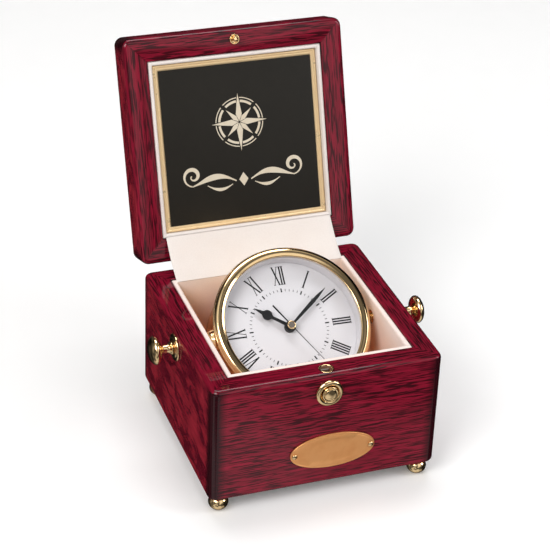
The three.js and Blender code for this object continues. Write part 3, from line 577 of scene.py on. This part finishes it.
def case_shell():
    x, y = SIDE - WALL, BACK - WALL
    low = edge_loops(FLOOR, -1)[::-1]
    high = edge_loops(RIM, 1)
    rebate = [
        outline(x + REBATE, y + REBATE, 0.5, REBATE_TOP),
        outline(x + REBATE, y + REBATE, 0.5, FLOOR + 0.2),
        outline(x + REBATE + 0.2, y + REBATE + 0.2, 0.6, FLOOR),
    ]
    loops = low + high + inner_loops(x, y, REBATE_TOP, RIM, 0.35) + rebate
    points, faces = loft(loops, closed=True)
    shell = build("case_wood", points, faces, CASE, CASE_WOOD)
    place = Matrix.Translation((0, PIVOT.y, PIVOT.z)) @ Matrix.Rotation(math.pi / 2, 4, "Y")
    tools = [
        bore(BUSH + GAP, -SIDE - 1, SIDE + 1, place),
        bore(BARREL + GAP, -8.5, 3, front_frame(0, RIM - CATCH_DROP)),
        bore(SOCKET + 0.8, RIM - 6.5, RIM + 2, CASE @ shift(0, CATCH_Y, 0)),
        bore(4.8, RIM - 0.8, RIM + 2, CASE @ shift(0, CATCH_Y, 0)),
        plain_box((-2.8, -BACK + 8.0, RIM - CATCH_DROP - 3.3), (2.8, -BACK + 11.65, RIM - 1.7), CASE),
        *mortises(RIM - LEAF_THICKNESS - 2 * GAP, RIM + 2, CASE),
    ]
    return own(cut(shell, tools), "case", "rosewood", "case_shell")


def case_lining():
    ox, oy = SIDE - WALL - GAP, BACK - WALL - GAP
    ix, iy = ox - LINER, oy - LINER
    low = REBATE_TOP
    floor = low + 3.0
    loops = [outline(ox, oy, 0.4, low), outline(ox, oy, 0.4, RIM - 1.6)]
    for i in range(1, 9):
        a = math.radians(180 * i / 8)
        t = 0.5 - 0.5 * math.cos(a)
        inset = LINER * t
        loops.append(outline(ox - inset, oy - inset, 0.4 + 0.5 * t, RIM - 1.6 + 1.5 * math.sin(a) ** 0.8))
    for k in range(1, 9):
        z = RIM - 1.6 - (RIM - 1.6 - floor - 2.5) * k / 8
        bulge = 0.25 * math.sin(math.pi * k / 8)
        loops.append(outline(ix - bulge, iy - bulge, 0.9, z))
    for i in range(1, 6):
        a = math.radians(90 * i / 5)
        inset = 2.5 * (1 - math.cos(a))
        loops.append(outline(ix - inset, iy - inset, 0.9 + inset * 0.5, floor + 2.5 * (1 - math.sin(a))))
    points, faces = loft(loops)
    lining = build("case_lining_leathercloth", points, faces, CASE, PEACH, 50)
    place = Matrix.Translation((0, PIVOT.y, PIVOT.z)) @ Matrix.Rotation(math.pi / 2, 4, "Y")
    cut(lining, [bore(BUSH + GAP, -SIDE - 1, SIDE + 1, place)], 50)
    return own(lining, "case", "leatherette", "case_lining")


def feet():
    middle = 5.394
    profile = [
        (0, 0), (2.2, 0),
        *arc(0, middle, 6.2, middle, -66, 56, 22),
        (3.7, 10.1), (3.6, 10.7), (2.0, 10.7), (2.0, 13), (0, 13),
    ]
    for name in ("foot_front_left", "foot_front_right", "foot_back_left", "foot_back_right"):
        low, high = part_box(name)
        place = Matrix.Translation(((low.x + high.x) / 2, (low.y + high.y) / 2, 0))
        own(turned(name + "_ball", profile, place, BRASS, 80, rounding=0.2), "case", "brass", name)


def catch():
    place = front_frame(0, RIM - CATCH_DROP)
    ring = [
        (2.2, -5.6), (BARREL, -5.6), (BARREL, GAP), (8.75, GAP), (8.75, 0.6),
        *arc(7.0, 0.6, 1.75, 1.6, 12, 150, 9),
        (5.42, 0.9), (5.4, -4.7), (2.2, -4.7),
    ]
    own(turned("catch_ring", ring, place, BRASS, 96, True, 0.18), "case", "brass", "catch_escutcheon")
    cap = [
        (0, -8.25), (1.9, -8.25), (1.9, -0.4), (5.1, -0.4), (5.1, 2.2),
        *arc(4.45, 2.25, 0.65, 0.6, 0, 90, 4),
        (3.95, 2.62), (3.75, 2.62), (3.62, 3.0), *arc(0, 3.0, 3.4, 0.38, 10, 90, 8),
    ]
    own(turned("catch_push_button", cap, place, BRASS, 96, False, 0.12), "catch", "brass", "catch_button")
    tube = [
        (3.75, -0.5), (4.5, -0.5), (4.5, -0.05), *arc(4.15, -0.02, 0.35, 0.17, 10, 170, 6), (3.75, -0.1),
    ]
    place = CASE @ shift(0, CATCH_Y, RIM)
    own(turned("catch_socket_ring", tube, place, BRASS, 80, True, 0.1), "case", "brass", "catch_socket")
    well = [(0, -6.2), (4.2, -6.2), (4.2, -0.5), (3.7, -0.5), (3.7, -5.7), (0, -5.7)]
    own(turned("catch_socket_well", well, place, HOLE, 64, rounding=0), "case", "black_plastic")
    stud = [
        (0, -4.36), *arc(0, -2.86, 1.5, 1.5, -80, 55, 14), (0.9, -1.35), (0.95, -0.75), (2.2, -0.72),
        (2.5, -1.15), (3.1, -1.2), (3.5, -0.5), (3.5, -0.3), (2.7, -0.3), (2.7, 8.0), (0, 8.0),
    ]
    place = LID @ shift(0, CATCH_Y, 0)
    own(turned("lid_catch_ball_stud", stud, place, BRASS, 64, False, 0.12), "lid", "brass", "lid_catch_stud")


def nameplate():
    place = front_frame(4, RIM - 54.6)
    steps = 96
    a, b = OVAL
    rings = [
        (0.0, 0.3), (0.0, 1.0), (0.1, 1.18), (0.3, 1.27), (0.95, 1.3), (1.05, 1.22), (1.25, 1.22),
        (1.35, 1.3), (5.5, 1.3), (10.5, 1.3),
    ]
    loops = [
        [
            ((a - inset) * math.cos(TURN * k / steps), (b - inset) * math.sin(TURN * k / steps), z)
            for k in range(steps)
        ]
        for inset, z in rings
    ]
    points, faces = loft(loops)
    own(build("front_oval_plate", points, faces, place, SATIN, 40), "case", "satin_brass", "nameplate")
    pin = [(0, -5), (0.85, -5), (0.85, 1.55), (1.7, 1.55), (1.68, 1.85), *arc(0, 1.75, 1.5, 0.72, 15, 90, 7)]
    for side, name in ((-1, "nameplate_nail_left"), (1, "nameplate_nail_right")):
        nail = turned(name + "_head", pin, place @ shift(side * NAIL_OUT, 0, 0), BRASS, 40, False, 0.06)
        own(nail, "case", "brass", name)


def knobs():
    bush = [
        (2.3, -17.3), (BUSH, -17.3), (BUSH, GAP), (8.8, GAP), (8.8, 0.7),
        *arc(7.6, 0.7, 1.2, 0.95, 10, 90, 5), (6.9, 1.45), (6.5, 1.42), *arc(4.2, 1.3, 2.3, 1.05, 10, 95, 6),
        (2.3, 2.4),
    ]
    turning = [
        (0, -26.0), (2.0, -26.0), (2.0, 2.7), (4.3, 2.7), (4.25, 3.2), (3.7, 3.7), (2.85, 4.7), (2.65, 6.0),
        (2.65, 8.3), (3.0, 9.1), *arc(0, 13.3, 8.9, 4.1, -66, 90, 34),
    ]
    for side, name in ((-1, "left"), (1, "right")):
        place = side_frame(side)
        rosette = turned(name + "_rosette", bush, place, BRASS, 96, True, 0.2)
        own(rosette, "case", "brass", name + "_rosette_bush")
        knob = turned(name + "_turned_knob", turning, place, BRASS, 96, False, 0.25)
        own(knob, name + "_knob", "brass", name + "_knob")


# ---------------------------------------------------------------- lid
def lid_shell():
    x, y = SIDE - LID_WALL, BACK - LID_WALL
    recess = [outline(x - 4, y - 4, 0.6, LID_RECESS), outline(x - 0.2, y - 0.2, 0.6, LID_RECESS)]
    flare = ((0, LID_RECESS - 0.2), (0, 0.35), (0.1, 0.1), (0.35, 0))
    mouth = [outline(x + h, y + h, 0.5 + h, z) for h, z in flare]
    loops = recess + mouth + edge_loops(0, -1)[::-1] + edge_loops(LID_HEIGHT, 1)
    loops.append(outline(SIDE - 12, BACK - 12, 2, LID_HEIGHT))
    points, faces = loft(loops)
    shell = build("lid_wood", points, faces, LID, LID_WOOD)
    tools = [bore(3.0, -1, 8.3, LID @ shift(0, CATCH_Y, 0)), *mortises(-1, LEAF_THICKNESS + GAP + 0.2, LID)]
    return own(cut(shell, tools), "lid", "rosewood", "lid_shell")


def lid_lining():
    ox, oy = SIDE - LID_WALL - GAP, BACK - LID_WALL - GAP
    ix, iy = ox - LID_LIP, oy - LID_LIP
    back = PLATE_DEPTH + LINING_BEHIND_PLATE
    loops = [outline(ix - 6, iy - 6, 0.4, back), outline(ix, iy, 0.4, back), outline(ix, iy, 0.5, 1.0)]
    for i in range(1, 9):
        t = i / 8
        inset = LID_LIP * (1 - t)
        loops.append(outline(ox - inset, oy - inset, 0.6, 1.0 - 1.0 * math.sin(math.pi * t) ** 0.7))
    loops.append(outline(ox, oy, 0.5, LID_RECESS - GAP))
    points, faces = loft(loops)
    lining = build("lid_lining_leathercloth", points, faces, LID, CREAM, 50)
    return own(lining, "lid", "leatherette", "lid_lining")


def lid_plate():
    fx = SIDE - LID_WALL - GAP - LID_LIP - GILT_BORDER
    fy = BACK - LID_WALL - GAP - LID_LIP - GILT_BORDER
    px, py = fx - PLATE_INSET, fy - PLATE_INSET
    profile = soften(
        [
            (0.0, 4.5), (0.0, 3.0), (0.5, 2.45), (1.2, 2.45), (1.6, 3.0), (2.0, 3.15), (2.4, 2.9),
            (3.9, 3.5), (3.9, 4.5),
        ],
        0.22, 3, True)
    loops = [outline(fx - inset, fy - inset, 0.2, z, 3) for inset, z in profile]
    points, faces = loft(loops, closed=True)
    own(build("lid_gilt_moulding", points, faces, LID, GILT, 35), "lid", "gilt", "lid_gilt_frame")
    top = PLATE_DEPTH + PLATE_THICKNESS
    plate = block("lid_black_panel", (-px, -py, PLATE_DEPTH), (px, py, top), 0.3, 0.12, LID, PLATE_BLACK)
    own(plate, "lid", "black_lacquer", "lid_black_plate")


def prism(shapes, low, high):
    """Points and faces of flat shapes given as outlines, raised between two heights."""
    points, faces = [], []
    for shape in shapes:
        start, count = len(points), len(shape)
        points += [(x, y, low) for x, y in shape] + [(x, y, high) for x, y in shape]
        faces.append(tuple(start + k for k in reversed(range(count))))
        faces.append(tuple(start + count + k for k in range(count)))
        for k in range(count):
            n = (k + 1) % count
            faces.append((start + k, start + n, start + count + n, start + count + k))
    return points, faces


def ribbon(path, widths):
    """Outline of a stroke along a path, with a width at each point."""
    left, right = [], []
    for i, (x, y) in enumerate(path):
        ax, ay = path[max(i - 1, 0)]
        bx, by = path[min(i + 1, len(path) - 1)]
        way = Vector((bx - ax, by - ay)).normalized()
        half = widths[i] / 2
        left.append((x - way.y * half, y + way.x * half))
        right.append((x + way.y * half, y - way.x * half))
    return left + right[::-1]


def ring_pieces(radius, width, count, start=0.0, spread=1.0):
    """A ring as short curved tiles, so that it needs no hole."""
    out = []
    for k in range(count):
        a0 = start + TURN * k / count
        a1 = a0 + TURN / count * spread
        steps = 6
        outer = [(radius * math.cos(a0 + (a1 - a0) * i / steps),
                  radius * math.sin(a0 + (a1 - a0) * i / steps))
                 for i in range(steps + 1)]
        inner = [(x * (radius - width) / radius, y * (radius - width) / radius) for x, y in outer]
        out.append(outer + inner[::-1])
    return out


def ornament():
    """A compass rose over a plain scroll, in gilt."""
    shapes = []
    for k in range(8):
        a = TURN * k / 8 + math.pi / 2
        length, half = (18.5, 4.4) if k % 2 == 0 else (12.0, 3.4)
        tip = (length * math.cos(a), length * math.sin(a))
        side = a + math.pi / 8 * 0.95
        other = a - math.pi / 8 * 0.95
        shapes.append([
            (0.55 * math.cos(a), 0.55 * math.sin(a)),
            (half * 1.25 * math.cos(other), half * 1.25 * math.sin(other)),
            tip,
            (half * 1.25 * math.cos(side), half * 1.25 * math.sin(side)),
        ])
    shapes += ring_pieces(14.2, 1.5, 8, TURN / 16 - TURN / 16 * 0.76, 0.76)
    shapes += ring_pieces(16.0, 0.6, 8, TURN / 16 - TURN / 16 * 0.84, 0.84)
    rose = [[(-x, y + 12.0) for x, y in shape] for shape in shapes]
    scroll = []
    for side in (-1, 1):
        spiral = []
        for i in range(40):
            t = i / 39
            a = math.radians(-90 + 470 * t)
            r = 6.0 * (1 - t) ** 0.8 + 0.5
            spiral.append((side * (34 + r * math.cos(a)), -19.6 + 6.4 - 6.5 + r * math.sin(a) + 0.2))
        widths = [0.8 + 1.7 * math.sin(math.pi * min(i / 39 * 1.15, 1)) ** 2 for i in range(40)]
        scroll.append(ribbon(spiral, widths))
        sweep = []
        for i in range(40):
            t = i / 39
            rise = 5.6 * math.sin(math.pi * t) * (1 - t) ** 0.4
            sweep.append((side * (5.0 + 30 * t), -25.6 + rise - 0.4 * t))
        widths = [0.8 + 3.0 * math.sin(math.pi * i / 39) ** 2 for i in range(40)]
        scroll.append(ribbon(sweep, widths))
        leaf = []
        for i in range(24):
            t = i / 23
            leaf.append((side * (7.5 + 17 * t), -27.4 - 3.0 * math.sin(math.pi * t) + 0.8 * t))
        widths = [0.5 + 1.6 * math.sin(math.pi * i / 23) ** 2 for i in range(24)]
        scroll.append(ribbon(leaf, widths))
    scroll.append([(0, -20.6), (-3.1, -25.0), (0, -29.4), (3.1, -25.0)])
    front = PLATE_DEPTH - ORNAMENT_RAISED
    shapes = [[(x, -y) for x, y in shape] for shape in rose + scroll]
    points, faces = prism(shapes, front, PLATE_DEPTH + ORNAMENT_SUNK)
    own(build("lid_plate_ornament", points, faces, LID, INLAY, 20), "lid", "gilt")


def web():
    """The leathercloth flap that joins the lid's lining to the back of the case's lining."""
    inner = BACK - WALL - GAP - LINER
    hinge_y, hinge_z = (HINGE.y - CASE_Y) / MM, HINGE.z / MM
    closed_y, closed_z = inner + 0.9 - hinge_y, GAP - 0.7
    c, s = math.cos(-LID_OPEN), math.sin(-LID_OPEN)
    upper = (hinge_y + c * closed_y - s * closed_z - 1.2, hinge_z + s * closed_y + c * closed_z)
    lower = (inner - 0.2, RIM - 0.4)
    width, across, along, thick = 2 * (SIDE - WALL - GAP - LINER + 0.4), 64, 26, 0.8
    chord = Vector((upper[0] - lower[0], upper[1] - lower[1]))
    normal = Vector((-chord.y, chord.x)).normalized()
    if normal.y < 0:
        normal = -normal
    top, bottom, length = [], [], 0.0
    last = None
    for i in range(along + 1):
        t = i / along
        sag = WEB_SAG * math.sin(math.pi * t)
        centre = Vector(lower) + chord * t - normal * sag
        if last is not None:
            length += (centre - last).length
        last = centre
        for k in range(across + 1):
            u = k / across
            ripple = WEB_RIPPLE * math.sin(9.0 * u + 2.0 * t) * math.sin(math.pi * t)
            hem = 0.35 * (max(0.0, 1 - min(u, 1 - u) * width / 1.6)) ** 2
            y, z = centre - normal * (ripple + hem)
            half = thick / 2 * (1 - 0.55 * (max(0.0, 1 - min(u, 1 - u) * width / 0.6)) ** 2)
            top.append(((u - 0.5) * width, y + normal.x * half, z + normal.y * half))
            bottom.append(((u - 0.5) * width, y - normal.x * half, z - normal.y * half))
    points, faces, row = top + bottom, [], across + 1
    count = len(top)
    for i in range(along):
        for k in range(across):
            a = i * row + k
            faces.append((a, a + 1, a + row + 1, a + row))
            faces.append((count + a, count + a + row, count + a + row + 1, count + a + 1))
    rim = [k for k in range(row)] + [i * row + across for i in range(1, along + 1)]
    rim += [along * row + k for k in reversed(range(across))] + [i * row for i in reversed(range(1, along))]
    for a, b in zip(rim, rim[1:] + rim[:1]):
        faces.append((a, b, count + b, count + a))
    flap = build("lid_web", points, faces, CASE, CREAM, 60)
    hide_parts("hinge_web")
    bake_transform(flap)


# ---------------------------------------------------------------- clock
def clock_case():
    cup_out, cup_in, depth = 47.0, 45.5, 29.5
    cup = [
        (cup_in, -depth), (cup_out, -depth), (cup_out, 7.3), (cup_in, 7.3), (cup_in, -1.3), (42.2, -1.3),
        (42.2, -3.1), (cup_in, -4.5),
    ]
    body = turned("clock_brass_cup", cup, CLOCK, BRASS, 160, True, 0.3)
    pivots = [bore(2.3, 45.2, 48, SWING @ Matrix.Rotation(side * math.pi / 2, 4, "Y")) for side in (-1, 1)]
    own(cut(body, pivots), "clock", "brass", "clock_cup")
    bezel = [
        (44.9, 7.6), (47.3, 7.6), (47.3, 5.8), (49.2, 5.8),
        (49.35, 6.1), (49.75, 6.5), *arc(49.3, 7.3, 0.9, 0.95, -30, 70, 6), (49.45, 8.35),
        *arc(46.3, 8.4, 3.45, 2.78, 8, 90, 16), (45.2, 11.08), (43.9, 10.72),
        (43.55, 10.45), (43.40, 10.2), (43.42, 9.9), (44.9, 9.9),
    ]
    own(turned("clock_bezel_ring", bezel, CLOCK, BRASS, 192, True, 0.07, 24), "clock", "brass", "clock_bezel")
    surround = [(43.0, 0.3), (45.2, 0.3), (45.2, 7.5), (43.4, 7.5)]
    own(turned("dial_surround_ring", surround, CLOCK, DIAL_WHITE, 160, True, 0.15), "clock", "white_enamel",
        "dial_surround")
    lens = [(0, 7.8), (44.4, 7.8), (44.6, 8.0), (44.6, 9.4), (44.4, 9.6), (0, 9.6)]
    own(turned("clock_glass", lens, CLOCK, CRYSTAL, 160, False, 0), "clock", "glass", "clock_crystal")
    x, y = 11.547, -3.094
    disc = [(0, -29.5), (45.2, -29.5), (45.2, -28.1), (0, -28.1)]
    cover = turned("clock_cup_cover", disc, CLOCK, BRASS, 128)
    cut(cover, [bore(7, -31, -26, CLOCK @ shift(x, y, 0))])
    own(cover, "clock", "brass", "clock_back_cover")
    boss = [
        (2.3, 47.3), (7.0, 47.3), (7.0, 49.5), *arc(0, 49.7, 6.7, 5.0, 8, 62, 10), (2.3, 54.7),
    ]
    for side, name in ((-1, "pivot_boss_left"), (1, "pivot_boss_right")):
        place = SWING @ Matrix.Rotation(side * math.pi / 2, 4, "Y")
        own(turned(name + "_dome", boss, place, BRASS, 64, True, 0.2), "clock", "brass", name)


def stroke(a, b, width):
    (ax, ay), (bx, by) = a, b
    # The ends are cut level, so that a slanted stroke sits flat on its serif.
    lean = math.hypot(bx - ax, by - ay) / abs(by - ay) if by != ay else 1
    if by == ay:
        return [(ax, ay - width / 2), (bx, by - width / 2), (bx, by + width / 2), (ax, ay + width / 2)]
    half = width / 2 * lean
    return [(ax - half, ay), (ax + half, ay), (bx + half, by), (bx - half, by)]


NUMERALS = ["XII", "I", "II", "III", "IIII", "V", "VI", "VII", "VIII", "IX", "X", "XI"]
THICK, THIN, SERIF = 0.95, 0.42, 0.30
ADVANCE = {"I": 1.62, "V": 4.5, "X": 4.7}


def numeral(text, height):
    """Strokes of a Roman numeral, centred on x = 0 and standing on y = 0."""
    width = sum(ADVANCE[c] for c in text)
    x, out = -width / 2, []
    for c in text:
        wide = ADVANCE[c]
        mid = x + wide / 2
        if c == "I":
            out.append(stroke((mid, 0.1), (mid, height - 0.1), THICK))
            feet_at = [(mid, THICK + 0.75, 0), (mid, THICK + 0.75, height)]
        elif c == "V":
            out.append(stroke((x + 0.8, height - 0.1), (mid + 0.1, 0), THICK))
            out.append(stroke((x + wide - 0.7, height - 0.1), (mid + 0.1, 0), THIN))
            feet_at = [(x + 0.8, 1.7, height), (x + wide - 0.7, 1.3, height)]
        else:
            out.append(stroke((x + 0.75, height - 0.1), (x + wide - 0.75, 0.1), THICK))
            out.append(stroke((x + wide - 0.75, height - 0.1), (x + 0.75, 0.1), THIN))
            feet_at = [(x + 0.8, 1.6, height), (x + wide - 0.8, 1.3, height), (x + 0.8, 1.3, 0),
                       (x + wide - 0.8, 1.6, 0)]
        for centre, length, level in feet_at:
            y = level if level == 0 else level - SERIF
            out.append([(centre - length / 2, y), (centre + length / 2, y), (centre + length / 2, y + SERIF),
                        (centre - length / 2, y + SERIF)])
        x += wide
    return out


def turned_by(shape, angle, radius):
    """A shape standing on y = 0, carried out to a radius at a clock angle."""
    c, s = math.cos(-angle), math.sin(-angle)
    return [(x * c - (y + radius) * s, x * s + (y + radius) * c) for x, y in shape]


def dial():
    face = [(0, -1.0), (44.0, -1.0), (44.2, -0.8), (44.2, -0.1), (44.1, 0), (30, 0),
            (15, 0), (3.6, 0), (3.6, -0.5),
            (0, -0.5)]
    own(turned("dial_face", face, CLOCK, DIAL_WHITE, 160, False, 0), "clock", "white_enamel", "dial")
    shapes = []
    for hour, text in enumerate(NUMERALS):
        shapes += [turned_by(s, TURN * hour / 12, 28.3) for s in numeral(text, 12.2)]
    for minute in range(60):
        width, low, high = (0.85, 23.4, 26.0) if minute % 5 == 0 else (0.34, 23.9, 25.4)
        bar = [(-width / 2, low), (width / 2, low), (width / 2, high), (-width / 2, high)]
        shapes.append(turned_by(bar, TURN * minute / 60, 0))
    points, faces = prism(shapes, -0.02, 0.05)
    place = CLOCK @ Matrix.Rotation(DIAL_TURN, 4, "Z")
    own(build("dial_numerals_and_track", points, faces, place, DIAL_BLACK, 20), "clock", "black_paint")


def hand(name, half, height, angle, hub, crown, body, node):
    """A flat hand, drawn along +Y, slightly crowned, with a round hub."""
    shape = half + [(-x, y) for x, y in reversed(half)]
    count = len(shape)
    z = (height, height + crown * 0.65, height + crown)
    points = [(x, y, z[0]) for x, y in shape] + [(x, y, z[1]) for x, y in shape]
    points += [(x * 0.45, y, z[2]) for x, y in shape]
    faces = [tuple(reversed(range(count)))]
    for level in (0, 1):
        for k in range(count):
            n = (k + 1) % count
            here, above = level * count, (level + 1) * count
            faces.append((here + k, here + n, above + n, above + k))
    faces.append(tuple(2 * count + k for k in range(count)))
    boss = [(0, height), (hub, height), (hub, height + crown), (0, height + crown)]
    disc, rings = lathe(soften(boss, 0.12, 3), 64)
    faces += [tuple(len(points) + i for i in face) for face in rings]
    points += disc
    place = CLOCK @ Matrix.Rotation(math.radians(-angle) + DIAL_TURN, 4, "Z")
    return own(build(name, points, faces, place, HAND_BLACK, 25), body, "black_paint", node)


def hands():
    bulge = [
        (3.3 * math.cos(math.radians(a)), 16 + 3.3 * math.sin(math.radians(a))) for a in range(-62, 61, 8)
    ]
    hour = [(1.15, 0), (1.0, 7), (0.95, 12.4), *bulge, (1.15, 19.6), (0.95, 21.2), (0.12, 25.2)]
    hand("hour_hand_blade", hour, 2.5, 304.8, 3.6, 0.5, "hour_train", "hour_hand")
    minute = [(0.75, 0), (0.8, 4), (1.05, 12), (1.25, 20), (1.1, 27), (0.12, 34.6)]
    hand("minute_hand_blade", minute, 3.7, 51.6, 3.3, 0.5, "minute_train", "minute_hand")
    second = [(0.52, -16.8), (0.45, -8), (0.24, 0), (0.14, 29.5)]
    hand("second_hand_blade", second, 4.9, 147, 1.9, 0.35, "second_train", "second_hand")
    place = CLOCK
    ring = [(1.95, 5.0), (2.7, 5.0), (2.7, 5.75), (2.55, 6.05), (2.2, 6.15), (1.95, 5.95)]
    own(turned("hub_cap_ring", ring, place, BRASS, 64, True, 0.1), "second_train", "brass")
    centre = [(0, 5.0), (1.93, 5.0), (1.93, 5.85), (1.6, 5.95), (0, 5.98)]
    own(turned("hub_cap_centre", centre, place, RUBBER_HUB, 48, False, 0.08), "second_train", "black_paint")


CARRIED = {
    BLACK_PLASTIC: ("movement_front", "movement_back", "setting_knob"),
    WHITE_PLASTIC: (
        "motor_rotor", "fifth_wheel", "second_wheel", "third_wheel", "centre_wheel",
        "motion_wheel", "hour_wheel",
    ),
    BRASS: ("hinge_lid_leaf_left", "hinge_lid_leaf_right", "hinge_case_leaf_left", "hinge_case_leaf_right"),
    STEEL: (
        "hinge_pin_left", "hinge_pin_right", "catch_hook", "catch_spring", "battery_contact_left",
        "battery_contact_right", "motor_stator",
    ),
    BOARD: ("case_floor_panel",),
    COPPER: ("motor_coil",),
    CIRCUIT: ("circuit_board",),
    CELL: ("battery",),
}


def carried_over():
    for finish, names in CARRIED.items():
        for name in names:
            if name in frame["nodes"]:
                node = frame["nodes"][name]
                node.data.materials.clear()
                node.data.materials.append(finish)


case_shell()
case_lining()
feet()
catch()
nameplate()
knobs()
lid_shell()
lid_lining()
lid_plate()
ornament()
web()
clock_case()
dial()
hands()
carried_over()

# ---------------------------------------------------------------- stage, light and camera
scene = bpy.context.scene
FLOOR_BELOW_FEET = 0.0002        # metres


def stage():
    mesh = bpy.data.meshes.new("floor")
    half = 4.0
    corners = [(-half, -half, 0), (half, -half, 0), (half, half, 0), (-half, half, 0)]
    mesh.from_pydata(corners, [], [(0, 1, 2, 3)])
    floor = bpy.data.objects.new("floor", mesh)
    scene.collection.objects.link(floor)
    floor.location = (0, 0, -FLOOR_BELOW_FEET)
    pale = paint("floor_pale", (0.95, 0.95, 0.95), 0.6, 0.01, 40,
                 Emission_Color=(1, 1, 1, 1), Emission_Strength=0.10)
    mesh.materials.append(pale)
    floor.visible_glossy = False


KEY, FILL, TOP, WORLD = 24.5, 13.0, 18.0, 0.95
CAMERA_PLACE = (-0.35852, CASE_Y - 0.93070, RIM * MM + 0.61715)     # metres


def area_light(name, place, aim, size, watts, color=(1, 1, 1)):
    light = bpy.data.lights.new(name, "AREA")
    light.shape = "RECTANGLE"
    light.size, light.size_y = size
    light.energy = watts
    light.color = color
    obj = bpy.data.objects.new(name, light)
    scene.collection.objects.link(obj)
    obj.location = place
    obj.rotation_mode = "QUATERNION"
    obj.rotation_quaternion = (Vector(aim) - Vector(place)).to_track_quat("-Z", "Y")


def lights():
    centre = (0, -0.02, 0.1)
    area_light("key", (-1.3, -1.0, 1.5), centre, (1.0, 1.0), KEY, (1.0, 0.985, 0.97))
    area_light("fill", (1.5, -0.9, 1.0), centre, (0.7, 1.1), FILL, (0.97, 0.985, 1.0))
    area_light("top", (0.1, 0.5, 1.9), centre, (1.3, 0.8), TOP)
    world = bpy.data.worlds.new("studio")
    world.use_nodes = True
    tree = world.node_tree
    g = Graph.__new__(Graph)
    g.tree = tree
    direction = g.add("TexCoord").outputs["Generated"]
    parts = g.add("SeparateXYZ", Vector=direction)
    level = g.ramp(parts.outputs[2], -0.25, 0.55, 0.70, 1.0)
    behind = g.ramp(parts.outputs[1], -0.15, 0.45, 1.0, 0.07)
    cards = g.ramp(g.noise(direction, 1.7, 1.0), 0.42, 0.53, 0.12, 1.0)
    screen = g.ramp(parts.outputs[0], 0.52, 0.62, 1.0, 0.05)
    background = tree.nodes["Background"]
    background.inputs["Color"].default_value = (1.0, 0.985, 0.965, 1)
    dark = g.math("MULTIPLY", g.math("MULTIPLY", level, behind), g.math("MULTIPLY", cards, screen))
    g.put(background.inputs["Strength"], g.math("MULTIPLY", dark, WORLD))
    scene.world = world


def camera():
    azimuth, elevation, roll = math.radians(-20.51), math.radians(30.596), math.radians(2.346)
    focal_pixels, frame_pixels, sensor = 1898.02, 550, 36
    back = Vector((
        math.sin(azimuth) * math.cos(elevation),
        -math.cos(azimuth) * math.cos(elevation),
        math.sin(elevation),
    ))
    right = Vector((0, 0, 1)).cross(back).normalized()
    up = back.cross(right)
    turned_right = right * math.cos(roll) + up * math.sin(roll)
    turned_up = -right * math.sin(roll) + up * math.cos(roll)
    data = bpy.data.cameras.new("camera")
    data.sensor_width = sensor
    data.lens = focal_pixels / frame_pixels * sensor
    data.shift_y = -0.0026
    data.clip_start, data.clip_end = 0.05, 20
    obj = bpy.data.objects.new("camera", data)
    scene.collection.objects.link(obj)
    matrix = Matrix((turned_right, turned_up, back)).transposed().to_4x4()
    matrix.translation = CAMERA_PLACE
    obj.matrix_world = matrix
    scene.camera = obj


stage()
lights()
camera()
scene.view_settings.view_transform = "Standard"
